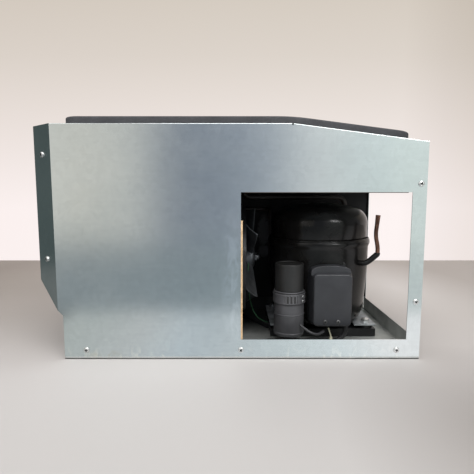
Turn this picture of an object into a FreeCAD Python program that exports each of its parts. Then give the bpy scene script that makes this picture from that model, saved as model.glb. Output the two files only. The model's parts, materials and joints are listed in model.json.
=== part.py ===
import FreeCAD, Part
import Sketcher
import math
import os

# A slide-in refrigeration unit: folded galvanised case, compressor and condenser fan below,
# insulated evaporator chamber with a sealing frame on top.
# +X runs from the intake end to the open rear end, -Y is the side with the window, +Z is up.
# The origin is the middle of the footprint, on the surface that the unit stands on.

os.makedirs("parts", exist_ok=True)
doc = FreeCAD.newDocument("refrigeration_unit")
sizes = doc.addObject("Spreadsheet::Sheet", "Sizes")
Vector = FreeCAD.Vector
Rotation = FreeCAD.Rotation
NEAR = -1
FAR = 1
subparts = []


class Size:
    """A length, ratio or count: its number now and the sheet formula that it follows."""

    def __init__(self, value, formula):
        self.value = float(value)
        self.formula = formula

    def __add__(self, other):
        other = as_size(other)
        return Size(self.value + other.value, f"({self.formula} + {other.formula})")

    def __radd__(self, other):
        return as_size(other) + self

    def __sub__(self, other):
        other = as_size(other)
        return Size(self.value - other.value, f"({self.formula} - {other.formula})")

    def __rsub__(self, other):
        return as_size(other) - self

    def __mul__(self, other):
        other = as_size(other)
        return Size(self.value * other.value, f"({self.formula} * {other.formula})")

    def __rmul__(self, other):
        return as_size(other) * self

    def __truediv__(self, other):
        other = as_size(other)
        return Size(self.value / other.value, f"({self.formula} / {other.formula})")

    def __neg__(self):
        return Size(-self.value, f"(0 - {self.formula})")


def as_size(number):
    if isinstance(number, Size):
        return number
    return Size(number, f"({number})")


def driving(alias, number, row):
    """Write one driving dimension into the sheet and give it back as a Size."""
    sizes.set(f"A{row}", alias.replace("_", " "))
    sizes.set(f"B{row}", str(number))
    sizes.setAlias(f"B{row}", alias)
    return Size(number, f"Sizes.{alias}")


def root_of(number):
    """Square root of a Size."""
    return Size(math.sqrt(number.value), f"sqrt({number.formula})")


def sine(angle):
    return Size(math.sin(math.radians(angle.value)), f"sin({angle.formula})")


def cosine(angle):
    return Size(math.cos(math.radians(angle.value)), f"cos({angle.formula})")


# Driving dimensions of the case
sheet = 1.0
panel_length = 500
body_depth = 250
panel_height = 321
rear_height = 298
slope_start = 320
bevel_out = 34
bevel_back = 27
bevel_low = 107
bevel_foot = 69
foot_inset = 7
top_flange = 22
relief_width = 2
relief_depth = 2.5
tray_flange = 25
corner_relief = 3
fold_radius = 0.9
seam_gap = 0.3
window_front = 251.8
window_strip = 18.9
window_bottom = 28
window_top = 231
post_flange = 12
front_return = 34
bevel_return = 27
rear_return = 40
slot_width = 46
slot_height = 5
slot_pitch = 12
slot_start = 124
slot_column = 58

# Driving dimensions of the sheet screws
screw_head = 4.0
screw_crown = 2.9
screw_head_height = 2.2
screw_shank = 1.9
screw_reach = 3.5
screw_play = 0.2
low_screw_z = 13
low_screw_front = 37.5
low_screw_middle = 252
low_screw_rear = 468
post_screw_inset = 8.2
post_screw_low = 81.5
post_screw_high = 242.2
bevel_screw_low = 139
bevel_screw_high = 281.5

# Driving dimensions of the evaporator chamber
deck_gap = 1
deck_flange = 8
foam_floor = 14
liner = 2
liner_rim = 12
cavity_corner = 6
gasket_front = 14.2
gasket_rear = 480
gasket_inset = 4
gasket_width = 20
gasket_height = 10
gasket_corner = 20
gasket_bend = 20
gasket_edge = 2.5
evaporator_front = 92
evaporator_length = 104
evaporator_half_width = 72
evaporator_height = 48
evaporator_column_pitch = 26
evaporator_tube_pitch = 24
evaporator_lift = 2
fan_deck_drop = 8
cool_fan_size = 119
cool_fan_depth = 25
cool_fan_bore = 57
cool_screw_pitch = 104.8
cool_fan_hub = 21
cool_fan_motor = 17
cool_root_chord = 13
cool_tip_chord = 30
cool_root_pitch = 44
cool_tip_pitch = 26
cool_blade = 1.2
cool_fan_clear = 1
cool_fan_cup = 2.5
cool_shaft = 1.5
cool_tip_gap = 2
cool_strut = 3
cool_strut_lap = 1
guard_wire = 1.2
drain_radius = 8
drain_wall = 1.5
drain_flange = 3
drain_from_bend = 66
capillary_from_bend = 78
suction_back = 62

# Driving dimensions of the condenser and its fan
fin_pitch = 6
fin_gap = 4
fin_slot_share = 0.42
coil_plate = 1.2
coil_tube = 4.76
condenser_front = 134
condenser_length = 44
condenser_half_width = 92
condenser_height = 200
condenser_column_pitch = 22
condenser_tube_pitch = 25
condenser_bottom = 12
shroud_length = 70
shroud_margin = 8
fan_z = 124
shroud_ring = 12
fan_radius = 82
fan_tip_gap = 3
fan_hub = 19
fan_hub_length = 20
fan_bore = 4
fan_gap = 8
blade_sheet = 1.6
blade_camber = 0.95
blade_overrun = 1.1
blade_root = 14.3
root_chord = 19
tip_chord = 74
root_pitch = 42
tip_pitch = 21
motor_radius = 33
motor_length = 44
motor_nose = 9
motor_rounding = 7.8
motor_bore = 31
shaft_depth = 26.5
hub_rounding = 6
fan_nut = 7.6
stack_length = 18
stack_radius = 37
bracket_width = 26
bracket_sheet = 2.5
bracket_lap = 8
shaft_play = 0.06

# Driving dimensions of the compressor and what it carries
compressor_from_bend = 384
compressor_back = 142
lower_radius = 77
upper_radius = 79.5
weld_radius = 82.5
weld_band = 5
weld_z = 156
shoulder_z = 176
shoulder_rise = 31
shoulder_in = 21
shoulder_bend = 27
crown_z = 214
dish_height = 17
rail_height = 13
rail_width = 34
rail_sheet = 2
feet_length = 168
feet_width = 112
foot_strap = 34
foot_sheet = 2.5
grommet_radius = 11
grommet_height = 5
bolt_radius = 4
bolt_head = 6.5
bolt_head_height = 5
bolt_play = 0.2
bolt_inset = 13
cover_width = 56
cover_height = 78
cover_bottom = 33
cover_offset = 4
cover_front = 40
cover_depth = 30
cover_flare = 6
cover_corner = 7
cover_edge = 2.5
cover_seat_gap = 0.3
cover_screw = 3.2
cover_screw_height = 1.5
cover_screw_left = 10.8
cover_screw_right = 8.4
clip_width = 4
clip_sheet = 1.2
clip_top = 137
clip_hook = 3
capacitor_radius = 21.3
capacitor_from_bend = 325
capacitor_back = 55
capacitor_bottom = 19
capacitor_top = 126
boot_top = 85.7
boot_wall = 1.2
clamp_band = 16
clamp_sheet = 1.2
tube_radius = 3.18
stub_radius = 4.2
suction_radius = 4.76
capillary_radius = 1.2
drier_radius = 9.5
drier_length = 80
drier_back = 34
drier_drop = 34
drier_neck = 9
capillary_loop = 12
capillary_bend = 6
pipe_stand = 22
pipe_lane = 20
pipe_clear = 5
tube_bend = 14
discharge_angle = 140
discharge_low = 95
suction_angle = 50
suction_low = 125
process_angle = -50
process_z = 122
process_out = 21
process_joint = 138
process_kink = 168
process_top = 196.5
box_length = 86
box_depth = 42
box_height = 40
box_wall = 2.5
gland_radius = 10
gland_flange = 13.5
gland_bore = 4.5
gland_rise = 1.2
cable_radius = 3.4
cable_clear = 1.2
cable_step = 28
cable_bend = 20
cable_exit = 24
tie_width = 4
tie_sheet = 1
tie_tail = 17
lining = 2.9
lining_start = 115
tape_width = 2.5
tape_show = 0.8
tape_start = 193

# Each number above goes into the sheet, and its name then stands for a Size that follows its cell
typed_numbers = {name: number for name, number in globals().items()
                 if name.islower() and isinstance(number, (int, float))}
for row, (name, number) in enumerate(typed_numbers.items(), 1):
    globals()[name] = driving(name, number, row)

# Counts, and the angle at which the cable tie's tail leans
slot_rows = 8
evaporator_columns = 4
evaporator_rows = 2
cool_fan_blades = 7
condenser_columns = 2
condenser_rows = 8
fan_blades = 5
tie_lean = 18

# Places worked out from the driving dimensions
bend_x = bevel_out - (panel_length + bevel_out) / 2
front_x = bend_x - bevel_out
rear_x = bend_x + panel_length
slope_x = bend_x + slope_start
slope = (panel_height - rear_height) / (panel_length - slope_start)
outer_y = body_depth / 2
inner_y = outer_y - sheet
near_y = -outer_y
foot_x = bend_x + foot_inset
foot_z = bevel_foot - foot_inset
window_x = bend_x + window_front
window_end = rear_x - window_strip
deck_z = window_top + deck_gap
deck_top = deck_z + sheet
cavity_floor = deck_top + foam_floor
box_x = bend_x + foot_inset * 2
box_y = inner_y - box_depth
box_z = tray_flange + sheet
box_middle = box_x + box_length / 2
gland_z = box_z + box_height / 2
cavity_front = bend_x + gasket_front + gasket_width + liner
cavity_rear = bend_x + gasket_rear - gasket_width - liner
cavity_y = outer_y - gasket_inset - gasket_width - liner
bevel_ratio = bevel_back / bevel_out
bevel_run = root_of(bevel_out * bevel_out + bevel_back * bevel_back)
bevel_skin = sheet * bevel_run / bevel_out


def top_at(x):
    """Height of the case's sloping top edge at a place behind the bend."""
    return panel_height - (x - slope_x) * slope


# Building helpers
NORMAL = {"XY_Plane": 1, "XZ_Plane": -1, "YZ_Plane": 1}


def bind(target, name, number):
    """Tie one property to a Size, or set it when it is a plain number."""
    target.setExpression(name, as_size(number).formula)


def body(label):
    made = doc.addObject("PartDesign::Body", label)
    made.Label = label
    return made


def keep(made, label=None):
    """Add a finished object to the list of sub-parts that are written out."""
    if label:
        made.Label = label
    subparts.append(made)
    return made


def sketch(owner, name, plane, at=0):
    """A sketch on one of the body's own planes, moved along that plane's world axis."""
    made = owner.newObject("Sketcher::SketchObject", name)
    support = [feature for feature in owner.Origin.OriginFeatures if feature.Role == plane][0]
    made.AttachmentSupport = [(support, "")]
    made.MapMode = "FlatFace"
    bind(made, "AttachmentOffset.Base.z", as_size(at) * NORMAL[plane])
    made.addProperty("App::PropertyInteger", "NormalSign")
    made.NormalSign = NORMAL[plane]
    return made


def pin(made, edge, end, x, y):
    """Hold one end of an edge at a place in the sketch."""
    for kind, number in (("DistanceX", as_size(x)), ("DistanceY", as_size(y))):
        held = made.addConstraint(Sketcher.Constraint(kind, -1, 1, edge, end, number.value))
        made.setExpression(f"Constraints[{held}]", number.formula)


def arc_between(first, last, radius, side):
    """Arc from first to last; its centre is left of the travel for side 1, right for -1."""
    chord = last - first
    left = Vector(-chord.y, chord.x, 0).normalize()
    rise = math.sqrt(max(radius * radius - chord.Length ** 2 / 4, 0))
    centre = (first + last) / 2 + left * (rise * side)
    start, end = (first, last) if side > 0 else (last, first)
    from_angle = math.atan2(start.y - centre.y, start.x - centre.x)
    to_angle = math.atan2(end.y - centre.y, end.x - centre.x)
    circle = Part.Circle(centre, Vector(0, 0, 1), radius)
    return Part.ArcOfCircle(circle, from_angle, to_angle)


def outline(made, points):
    """Closed outline. A point is (x, y), or (x, y, radius, side) when an arc leads on from it."""
    places = [Vector(as_size(p[0]).value, as_size(p[1]).value, 0) for p in points]
    count = len(points)
    edges = []
    for index, point in enumerate(points):
        first = places[index]
        last = places[(index + 1) % count]
        if len(point) == 2:
            edge = made.addGeometry(Part.LineSegment(first, last), False)
            edges.append((edge, 1, 2))
            continue
        radius = as_size(point[2])
        side = point[3]
        edge = made.addGeometry(arc_between(first, last, radius.value, side), False)
        held = made.addConstraint(Sketcher.Constraint("Radius", edge, radius.value))
        made.setExpression(f"Constraints[{held}]", radius.formula)
        edges.append((edge, 1, 2) if side > 0 else (edge, 2, 1))
    for index, (edge, start, end) in enumerate(edges):
        after, after_start, _ = edges[(index + 1) % count]
        made.addConstraint(Sketcher.Constraint("Coincident", edge, end, after, after_start))
        pin(made, edge, start, points[index][0], points[index][1])


def rectangle(made, x0, x1, y0, y1):
    outline(made, [(x0, y0), (x1, y0), (x1, y1), (x0, y1)])


def rounded(made, x0, x1, y0, y1, radius):
    """Rectangle with round corners."""
    outline(made, [
        (x0 + radius, y0), (x1 - radius, y0, radius, 1),
        (x1, y0 + radius), (x1, y1 - radius, radius, 1),
        (x1 - radius, y1), (x0 + radius, y1, radius, 1),
        (x0, y1 - radius), (x0, y0 + radius, radius, 1),
    ])


def circle(made, x, y, radius):
    radius = as_size(radius)
    place = Vector(as_size(x).value, as_size(y).value, 0)
    edge = made.addGeometry(Part.Circle(place, Vector(0, 0, 1), radius.value), False)
    held = made.addConstraint(Sketcher.Constraint("Radius", edge, radius.value))
    made.setExpression(f"Constraints[{held}]", radius.formula)
    pin(made, edge, 3, x, y)


def pad(owner, made, length, toward=1):
    """Thicken a sketch along the world axis that its plane faces."""
    feature = owner.newObject("PartDesign::Pad", made.Name + "_pad")
    feature.Profile = made
    bind(feature, "Length", length)
    feature.Reversed = toward * made.NormalSign < 0
    return feature


def pad_both(owner, made, length):
    """Thicken a sketch by half the length to each side."""
    feature = owner.newObject("PartDesign::Pad", made.Name + "_pad")
    feature.Profile = made
    feature.SideType = "Symmetric"
    bind(feature, "Length", length)
    return feature


def pocket(owner, made, depth, toward=-1):
    """Cut a sketch in, along the world axis that its plane faces."""
    feature = owner.newObject("PartDesign::Pocket", made.Name + "_pocket")
    feature.Profile = made
    bind(feature, "Length", depth)
    feature.Reversed = toward * made.NormalSign > 0
    return feature


def pocket_through(owner, made):
    """Cut a sketch through everything, to both sides."""
    feature = owner.newObject("PartDesign::Pocket", made.Name + "_pocket")
    feature.Profile = made
    feature.SideType = "Symmetric"
    feature.Type = "ThroughAll"
    return feature


def revolve(owner, made):
    """Turn a sketch right round its vertical axis."""
    feature = owner.newObject("PartDesign::Revolution", made.Name + "_turn")
    feature.Profile = made
    feature.ReferenceAxis = (made, ["V_Axis"])
    feature.Angle = 360
    return feature


def row_of(owner, feature, made, axis, pitch, count, reverse=False):
    """Repeat a feature along one axis of its sketch."""
    pattern = owner.newObject("PartDesign::LinearPattern", feature.Name + "_row")
    pattern.Originals = [feature]
    pattern.Direction = (made, [axis])
    pattern.Reversed = reverse
    bind(pattern, "Length", pitch * (count - 1))
    bind(pattern, "Occurrences", count)
    owner.Tip = pattern
    return pattern


def ring_of(owner, feature, count):
    """Repeat a feature round the body's own vertical axis."""
    pattern = owner.newObject("PartDesign::PolarPattern", feature.Name + "_ring")
    pattern.Originals = [feature]
    axis = [made for made in owner.Origin.OriginFeatures if made.Role == "Z_Axis"][0]
    pattern.Axis = (axis, [""])
    pattern.Angle = 360
    pattern.Occurrences = count
    owner.Tip = pattern
    return pattern


def place(made, x, y, z, rotation=Rotation()):
    made.Placement = FreeCAD.Placement(Vector(0, 0, 0), rotation)
    bind(made, "Placement.Base.x", x)
    bind(made, "Placement.Base.y", y)
    bind(made, "Placement.Base.z", z)
    return made


def cylinder(name, radius, height, x, y, z, rotation=Rotation()):
    made = doc.addObject("Part::Cylinder", name)
    bind(made, "Radius", radius)
    bind(made, "Height", height)
    return place(made, x, y, z, rotation)


def cone(name, low_radius, high_radius, height, x, y, z, rotation=Rotation()):
    made = doc.addObject("Part::Cone", name)
    bind(made, "Radius1", low_radius)
    bind(made, "Radius2", high_radius)
    bind(made, "Height", height)
    return place(made, x, y, z, rotation)


def block(name, x0, x1, y0, y1, z0, z1):
    made = doc.addObject("Part::Box", name)
    bind(made, "Length", as_size(x1) - x0)
    bind(made, "Width", as_size(y1) - y0)
    bind(made, "Height", as_size(z1) - z0)
    return place(made, x0, y0, z0)


def cut(name, base, tools):
    """The base with one or more tools taken away."""
    made = doc.addObject("Part::Cut", name)
    made.Base = base
    made.Tool = tools[0] if len(tools) == 1 else group(name + "_tools", tools)
    return made


def fuse(name, pieces):
    made = doc.addObject("Part::MultiFuse", name)
    made.Shapes = pieces
    return made


def group(name, pieces):
    """Separate solids kept together under one name."""
    made = doc.addObject("Part::Compound", name)
    made.Links = pieces
    return made


def tube_path(points, bend):
    """Straight runs joined by tangent arcs of one bend radius."""
    edges = []
    start = points[0]
    for before, corner, after in zip(points, points[1:], points[2:]):
        into = (corner - before).normalize()
        away = (after - corner).normalize()
        turn = into.getAngle(away)
        setback = bend * math.tan(turn / 2)
        arc_start = corner - into * setback
        arc_end = corner + away * setback
        inward = (away - into).normalize()
        middle = corner + inward * (bend / math.cos(turn / 2) - bend)
        edges.append(Part.LineSegment(start, arc_start).toShape())
        edges.append(Part.Arc(arc_start, middle, arc_end).toShape())
        start = arc_end
    edges.append(Part.LineSegment(start, points[-1]).toShape())
    return Part.Wire(edges)


def tube(label, points, radius, bend):
    """A solid round tube or lead along a path of points given as Sizes."""
    places = [Vector(*(as_size(number).value for number in point)) for point in points]
    path = tube_path(places, as_size(bend).value)
    away = (places[1] - places[0]).normalize()
    section = Part.Wire(Part.Circle(places[0], away, as_size(radius).value).toShape())
    made = doc.addObject("Part::Feature", label)
    made.Shape = path.makePipeShell([section], True, False)
    expected = math.pi * as_size(radius).value ** 2 * path.Length
    if abs(made.Shape.Volume - expected) > 0.01 * expected:
        raise ValueError(f"{label}: swept volume {made.Shape.Volume:.1f}, expected {expected:.1f}")
    return keep(made, label)


# Screws of the case
low_screw_places = [bend_x + low_screw_front, bend_x + low_screw_middle, bend_x + low_screw_rear]
post_screw_x = rear_x - post_screw_inset
post_screw_places = [post_screw_low, post_screw_high]
bevel_screw_places = [bevel_screw_low, bevel_screw_high]
screw_hole = screw_shank + screw_play


def side_turn(side):
    """Turns a screw's axis, made along +Z, so that its head faces out of a side panel."""
    return Rotation(Vector(0, 0, 1), Vector(0, side, 0))


def bevel_turn(side):
    """The same for a screw in the bevelled flange."""
    return Rotation(Vector(0, 0, 1), Vector(-bevel_back.value, side * bevel_out.value, 0))


def bevel_middle(side):
    """Middle of the bevelled flange's outer face, as x and y."""
    return bend_x - bevel_out / 2, (outer_y - bevel_back / 2) * side


def sheet_screw(name, x, y, z, rotation):
    """Pan head screw whose head rests on the sheet at the given place."""
    head = cone(name + "_head", screw_head, screw_crown, screw_head_height, x, y, z, rotation)
    outward = rotation.multVec(Vector(0, 0, 1))
    shank = cylinder(
        name + "_shank", screw_shank, screw_reach + screw_head_height / 2,
        x - screw_reach * outward.x, y - screw_reach * outward.y, z - screw_reach * outward.z,
        rotation)
    return fuse(name, [head, shank])


def panel_screws(side, label):
    """The seven screws that hold one side panel."""
    screws = []
    for index, x in enumerate(low_screw_places):
        name = f"{label}_low_{index}"
        screws.append(sheet_screw(name, x, outer_y * side, low_screw_z, side_turn(side)))
    for index, z in enumerate(post_screw_places):
        name = f"{label}_post_{index}"
        screws.append(sheet_screw(name, post_screw_x, outer_y * side, z, side_turn(side)))
    bevel_x, bevel_y = bevel_middle(side)
    for index, z in enumerate(bevel_screw_places):
        name = f"{label}_bevel_{index}"
        screws.append(sheet_screw(name, bevel_x, bevel_y, z, bevel_turn(side)))
    return keep(group(label, screws), label)


def bevel_drills(side, label):
    """Cylinders that drill the bevel screws' holes through bevel and front panel."""
    bevel_x, bevel_y = bevel_middle(side)
    outward = bevel_turn(side).multVec(Vector(0, 0, 1))
    drills = []
    for index, z in enumerate(bevel_screw_places):
        drills.append(cylinder(
            f"{label}_drill_{index}", screw_hole, screw_reach * 3,
            bevel_x - screw_reach * 2 * outward.x, bevel_y - screw_reach * 2 * outward.y, z,
            bevel_turn(side)))
    return drills


def side_panel(side, label, has_window):
    """Folded side panel: flat sheet, inward top flange, bevelled front flange."""
    blank = body(label + "_sheet")
    face = sketch(blank, label + "_outline", "XZ_Plane", outer_y * side)
    outline(face, [
        (foot_x, 0), (rear_x, 0), (rear_x, rear_height),
        (slope_x + relief_width / 2, top_at(slope_x + relief_width / 2)),
        (slope_x + relief_width / 2, panel_height - relief_depth),
        (slope_x - relief_width / 2, panel_height - relief_depth),
        (slope_x - relief_width / 2, panel_height),
        (bend_x, panel_height), (bend_x, bevel_foot), (foot_x, foot_z),
    ])
    pad(blank, face, sheet, -side)
    bevel = sketch(blank, label + "_bevel", "XY_Plane", bevel_foot)
    outline(bevel, [
        (bend_x, outer_y * side), (front_x, (outer_y - bevel_back) * side),
        (front_x, (outer_y - bevel_back - bevel_skin) * side),
        (bend_x, (outer_y - bevel_skin) * side),
    ])
    pad(blank, bevel, panel_height - bevel_foot)
    corner = sketch(blank, label + "_bevel_cut", "XZ_Plane")
    outline(corner, [(front_x, bevel_foot), (bend_x, bevel_foot), (front_x, bevel_low)])
    pocket_through(blank, corner)
    flange = sketch(blank, label + "_flange", "XZ_Plane", inner_y * side)
    outline(flange, [
        (bend_x, panel_height - sheet), (slope_x - relief_width / 2, panel_height - sheet),
        (slope_x - relief_width / 2, panel_height), (bend_x, panel_height),
    ])
    slope_begin = slope_x + relief_width / 2
    outline(flange, [
        (slope_begin, top_at(slope_begin) - sheet), (rear_x, rear_height - sheet),
        (rear_x, rear_height), (slope_begin, top_at(slope_begin)),
    ])
    pad(blank, flange, top_flange - sheet, -side)
    holes = sketch(blank, label + "_holes", "XZ_Plane", outer_y * side)
    for x in low_screw_places:
        circle(holes, x, low_screw_z, screw_hole)
    for z in post_screw_places:
        circle(holes, post_screw_x, z, screw_hole)
    if has_window:
        rectangle(holes, window_x, window_end, window_bottom, window_top)
    else:
        circle(holes, box_middle, gland_z, gland_radius + seam_gap)
    pocket(blank, holes, sheet * 2, -side)
    drilled = cut(label + "_drilled", blank, bevel_drills(side, label))
    doc.recompute()
    folds = []
    for edge in drilled.Shape.Edges:
        spot = edge.valueAt((edge.FirstParameter + edge.LastParameter) / 2)
        is_outside = abs(spot.y - outer_y.value * side) < fold_radius.value / 10
        line = panel_height if spot.x < slope_x.value else top_at(spot.x)
        is_top_fold = abs(spot.z - line.value) < fold_radius.value / 10
        is_upright_fold = abs(spot.x - bend_x.value) < fold_radius.value / 10
        if is_outside and edge.Length > top_flange.value and (is_top_fold or is_upright_fold):
            folds.append(edge)
    panel = doc.addObject("Part::Feature", label)
    panel.Shape = drilled.Shape.makeFillet(fold_radius.value, folds)
    return keep(panel)


def folded_tray(label, x0, x1, half_width, z0, height):
    """Sheet folded up on all four sides, with open corners."""
    tray = body(label)
    plan = sketch(tray, label + "_plan", "XY_Plane", z0)
    rectangle(plan, x0, x1, -half_width, half_width)
    pad(tray, plan, height)
    hollow = sketch(tray, label + "_hollow", "XY_Plane", z0 + height)
    rectangle(hollow, x0 + sheet, x1 - sheet, sheet - half_width, half_width - sheet)
    pocket(tray, hollow, height - sheet)
    corners = sketch(tray, label + "_corners", "XY_Plane", z0 + height)
    for near_corner in (-half_width, half_width - corner_relief):
        for front_corner in (x0, x1 - corner_relief):
            rectangle(corners, front_corner, front_corner + corner_relief,
                      near_corner, near_corner + corner_relief)
    pocket(tray, corners, height)
    return tray


compressor_x = bend_x + compressor_from_bend
compressor_y = near_y + compressor_back
foot_bolt_x = feet_length / 2 - bolt_inset
foot_bolt_y = feet_width / 2 - bolt_inset
foot_bolt_places = [
    (compressor_x + foot_bolt_x * along, compressor_y + foot_bolt_y * across)
    for along in (-1, 1) for across in (-1, 1)]
tray_front = foot_x + sheet


def base_tray():
    tray = folded_tray("base_tray", tray_front, rear_x, inner_y, as_size(0), tray_flange)
    holes = sketch(tray, "tray_screw_holes", "XZ_Plane")
    for x in low_screw_places:
        circle(holes, x, low_screw_z, screw_hole)
    pocket_through(tray, holes)
    bolts = sketch(tray, "tray_bolt_holes", "XY_Plane", sheet)
    for x, y in foot_bolt_places:
        circle(bolts, x, y, bolt_radius + bolt_play)
    pocket(tray, bolts, sheet)
    return keep(tray)


def front_panel():
    """Intake panel held between the bevelled flanges, with its apron down to the tray."""
    label = "front_panel"
    panel = body(label + "_sheet")
    face = sketch(panel, label + "_profile", "XZ_Plane")
    return_x = bend_x + front_return
    outline(face, [
        (foot_x, 0), (foot_x + sheet, 0), (foot_x + sheet, foot_z), (bend_x + sheet, bevel_foot),
        (front_x + sheet, bevel_low), (front_x + sheet, panel_height - sheet),
        (return_x, panel_height - sheet), (return_x, panel_height), (front_x, panel_height),
        (front_x, bevel_low), (bend_x, bevel_foot), (foot_x, foot_z),
    ])
    pad_both(panel, face, inner_y * 2 - seam_gap * 2)
    sides = sketch(panel, label + "_sides", "XY_Plane", panel_height)
    fit_y = outer_y - bevel_skin - seam_gap
    for side in (NEAR, FAR):
        outline(sides, [
            (bend_x, (outer_y + sheet) * side), (front_x - sheet, (outer_y + sheet) * side),
            (front_x - sheet, (fit_y - bevel_back - sheet * bevel_ratio) * side),
            (bend_x, fit_y * side),
        ])
    pocket(panel, sides, panel_height - foot_z)
    lid = sketch(panel, label + "_top_corners", "XY_Plane", panel_height)
    for side in (NEAR, FAR):
        flange_y = (outer_y - top_flange - seam_gap) * side
        rectangle(lid, bend_x - seam_gap, return_x + sheet, flange_y, outer_y * side)
    pocket(panel, lid, sheet * 2)
    returns = sketch(panel, label + "_returns", "XY_Plane", bevel_low + sheet)
    for side in (NEAR, FAR):
        first_y = fit_y - bevel_back
        last_y = first_y + bevel_return * bevel_ratio
        outline(returns, [
            (front_x, first_y * side), (front_x + bevel_return, last_y * side),
            (front_x + bevel_return, (last_y - bevel_skin) * side),
            (front_x, (first_y - bevel_skin) * side),
        ])
    pad(panel, returns, panel_height - bevel_low - sheet * 2)
    for index, column in enumerate((-1, 0, 1)):
        slot = sketch(panel, f"{label}_slot_{index}", "YZ_Plane", front_x)
        middle = slot_column * column
        rectangle(slot, middle - slot_width / 2, middle + slot_width / 2,
                  slot_start, slot_start + slot_height)
        opening = pocket(panel, slot, sheet * 2, 1)
        row_of(panel, opening, slot, "V_Axis", slot_pitch, slot_rows)
    drills = bevel_drills(NEAR, label + "_near") + bevel_drills(FAR, label + "_far")
    return keep(cut(label, panel, drills), label)


def rear_frame():
    """Portal round the open rear end: two posts, a header and the top return."""
    label = "rear_frame"
    frame = body(label)
    post_z = tray_flange + seam_gap
    face = sketch(frame, label + "_portal", "YZ_Plane", rear_x)
    portal_y = inner_y - seam_gap
    open_y = portal_y - post_flange
    outline(face, [
        (-portal_y, post_z), (-open_y, post_z), (-open_y, window_top), (open_y, window_top),
        (open_y, post_z), (portal_y, post_z), (portal_y, rear_height - sheet - seam_gap),
        (-portal_y, rear_height - sheet - seam_gap),
    ])
    pad(frame, face, sheet, -1)
    legs = sketch(frame, label + "_legs", "XY_Plane", post_z)
    for side in (NEAR, FAR):
        rectangle(legs, rear_x - window_strip + sheet, rear_x - sheet,
                  (portal_y - sheet) * side, portal_y * side)
    pad(frame, legs, rear_height - sheet - seam_gap - post_z)
    top = sketch(frame, label + "_top", "XZ_Plane")
    inner_x = rear_x - rear_return
    outline(top, [
        (inner_x, top_at(inner_x) - sheet), (rear_x - sheet, top_at(rear_x - sheet) - sheet),
        (rear_x - sheet, rear_height - sheet * 3), (rear_x, rear_height - sheet * 3),
        (rear_x, rear_height), (inner_x, top_at(inner_x)),
    ])
    pad_both(frame, top, (outer_y - top_flange - seam_gap) * 2)
    holes = sketch(frame, label + "_holes", "XZ_Plane")
    for z in post_screw_places:
        circle(holes, post_screw_x, z, screw_hole)
    pocket_through(frame, holes)
    return keep(frame)


# Evaporator chamber
deck_x0 = bend_x + sheet + seam_gap
deck_x1 = rear_x - sheet - seam_gap
deck_y = inner_y - sheet - seam_gap * 2
foam_x0 = deck_x0 + sheet + seam_gap
foam_x1 = deck_x1 - sheet - seam_gap
foam_y = deck_y - sheet - seam_gap
rim_top = -(sheet + seam_gap)
rim_under = rim_top - liner
liner_floor = cavity_floor + liner
evaporator_x = bend_x + evaporator_front
evaporator_end = evaporator_x + evaporator_length
evaporator_z = liner_floor + evaporator_lift
suction_x = evaporator_end + suction_back
suction_y = cavity_y - suction_radius - pipe_clear / 2
capillary_x = bend_x + capillary_from_bend
capillary_y = evaporator_half_width + pipe_lane
drain_x = bend_x + drain_from_bend
drain_y = -evaporator_half_width
passages = [
    (suction_x, suction_y, suction_radius + seam_gap),
    (capillary_x, capillary_y, capillary_radius + seam_gap),
    (drain_x, drain_y, drain_radius + seam_gap),
]


def band(made, x0, x1, lower, upper):
    """Side view of a layer that follows the case's top line, between two offsets from it."""
    outline(made, [
        (x0, panel_height + lower), (slope_x, panel_height + lower), (x1, top_at(x1) + lower),
        (x1, top_at(x1) + upper), (slope_x, panel_height + upper), (x0, panel_height + upper),
    ])


def trim_above(owner, name, offset):
    """Cut away everything higher than an offset from the case's top line."""
    made = sketch(owner, name, "XZ_Plane")
    band(made, front_x, rear_x, offset, as_size(offset) + panel_height)
    return pocket_through(owner, made)


def drill_passages(owner, name, top, depth):
    """Holes for the tubes and the drain that pass down into the machine compartment."""
    made = sketch(owner, name, "XY_Plane", top)
    for x, y, radius in passages:
        circle(made, x, y, radius)
    return pocket(owner, made, depth)


def deck_plate():
    deck = folded_tray("deck_plate", deck_x0, deck_x1, deck_y, deck_z, deck_flange)
    drill_passages(deck, "deck_passages", deck_top, sheet)
    return keep(deck)


def insulation_tub():
    tub = body("insulation_tub")
    plan = sketch(tub, "foam_plan", "XY_Plane", deck_top)
    rectangle(plan, foam_x0, foam_x1, -foam_y, foam_y)
    pad(tub, plan, panel_height - deck_top)
    trim_above(tub, "foam_top", rim_under)
    cavity = sketch(tub, "foam_cavity", "XY_Plane", panel_height)
    rounded(cavity, cavity_front - liner, cavity_rear + liner,
            -cavity_y - liner, cavity_y + liner, cavity_corner + liner)
    pocket(tub, cavity, panel_height - cavity_floor)
    drill_passages(tub, "foam_passages", cavity_floor, foam_floor)
    return keep(tub)


def tub_liner():
    """Thin formed liner with a rim that lies on the foam."""
    made = body("tub_liner")
    rim = sketch(made, "liner_rim_band", "XZ_Plane")
    band(rim, cavity_front - liner_rim, cavity_rear + liner_rim, rim_under, rim_top)
    pad_both(made, rim, (cavity_y + liner_rim) * 2)
    wall = sketch(made, "liner_wall", "XY_Plane", cavity_floor)
    rounded(wall, cavity_front - liner, cavity_rear + liner,
            -cavity_y - liner, cavity_y + liner, cavity_corner + liner)
    pad(made, wall, panel_height - cavity_floor)
    trim_above(made, "liner_trim", rim_top)
    hollow = sketch(made, "liner_hollow", "XY_Plane", panel_height)
    rounded(hollow, cavity_front, cavity_rear, -cavity_y, cavity_y, cavity_corner)
    pocket(made, hollow, panel_height - liner_floor)
    drill_passages(made, "liner_passages", liner_floor, liner)
    return keep(made)


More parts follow.
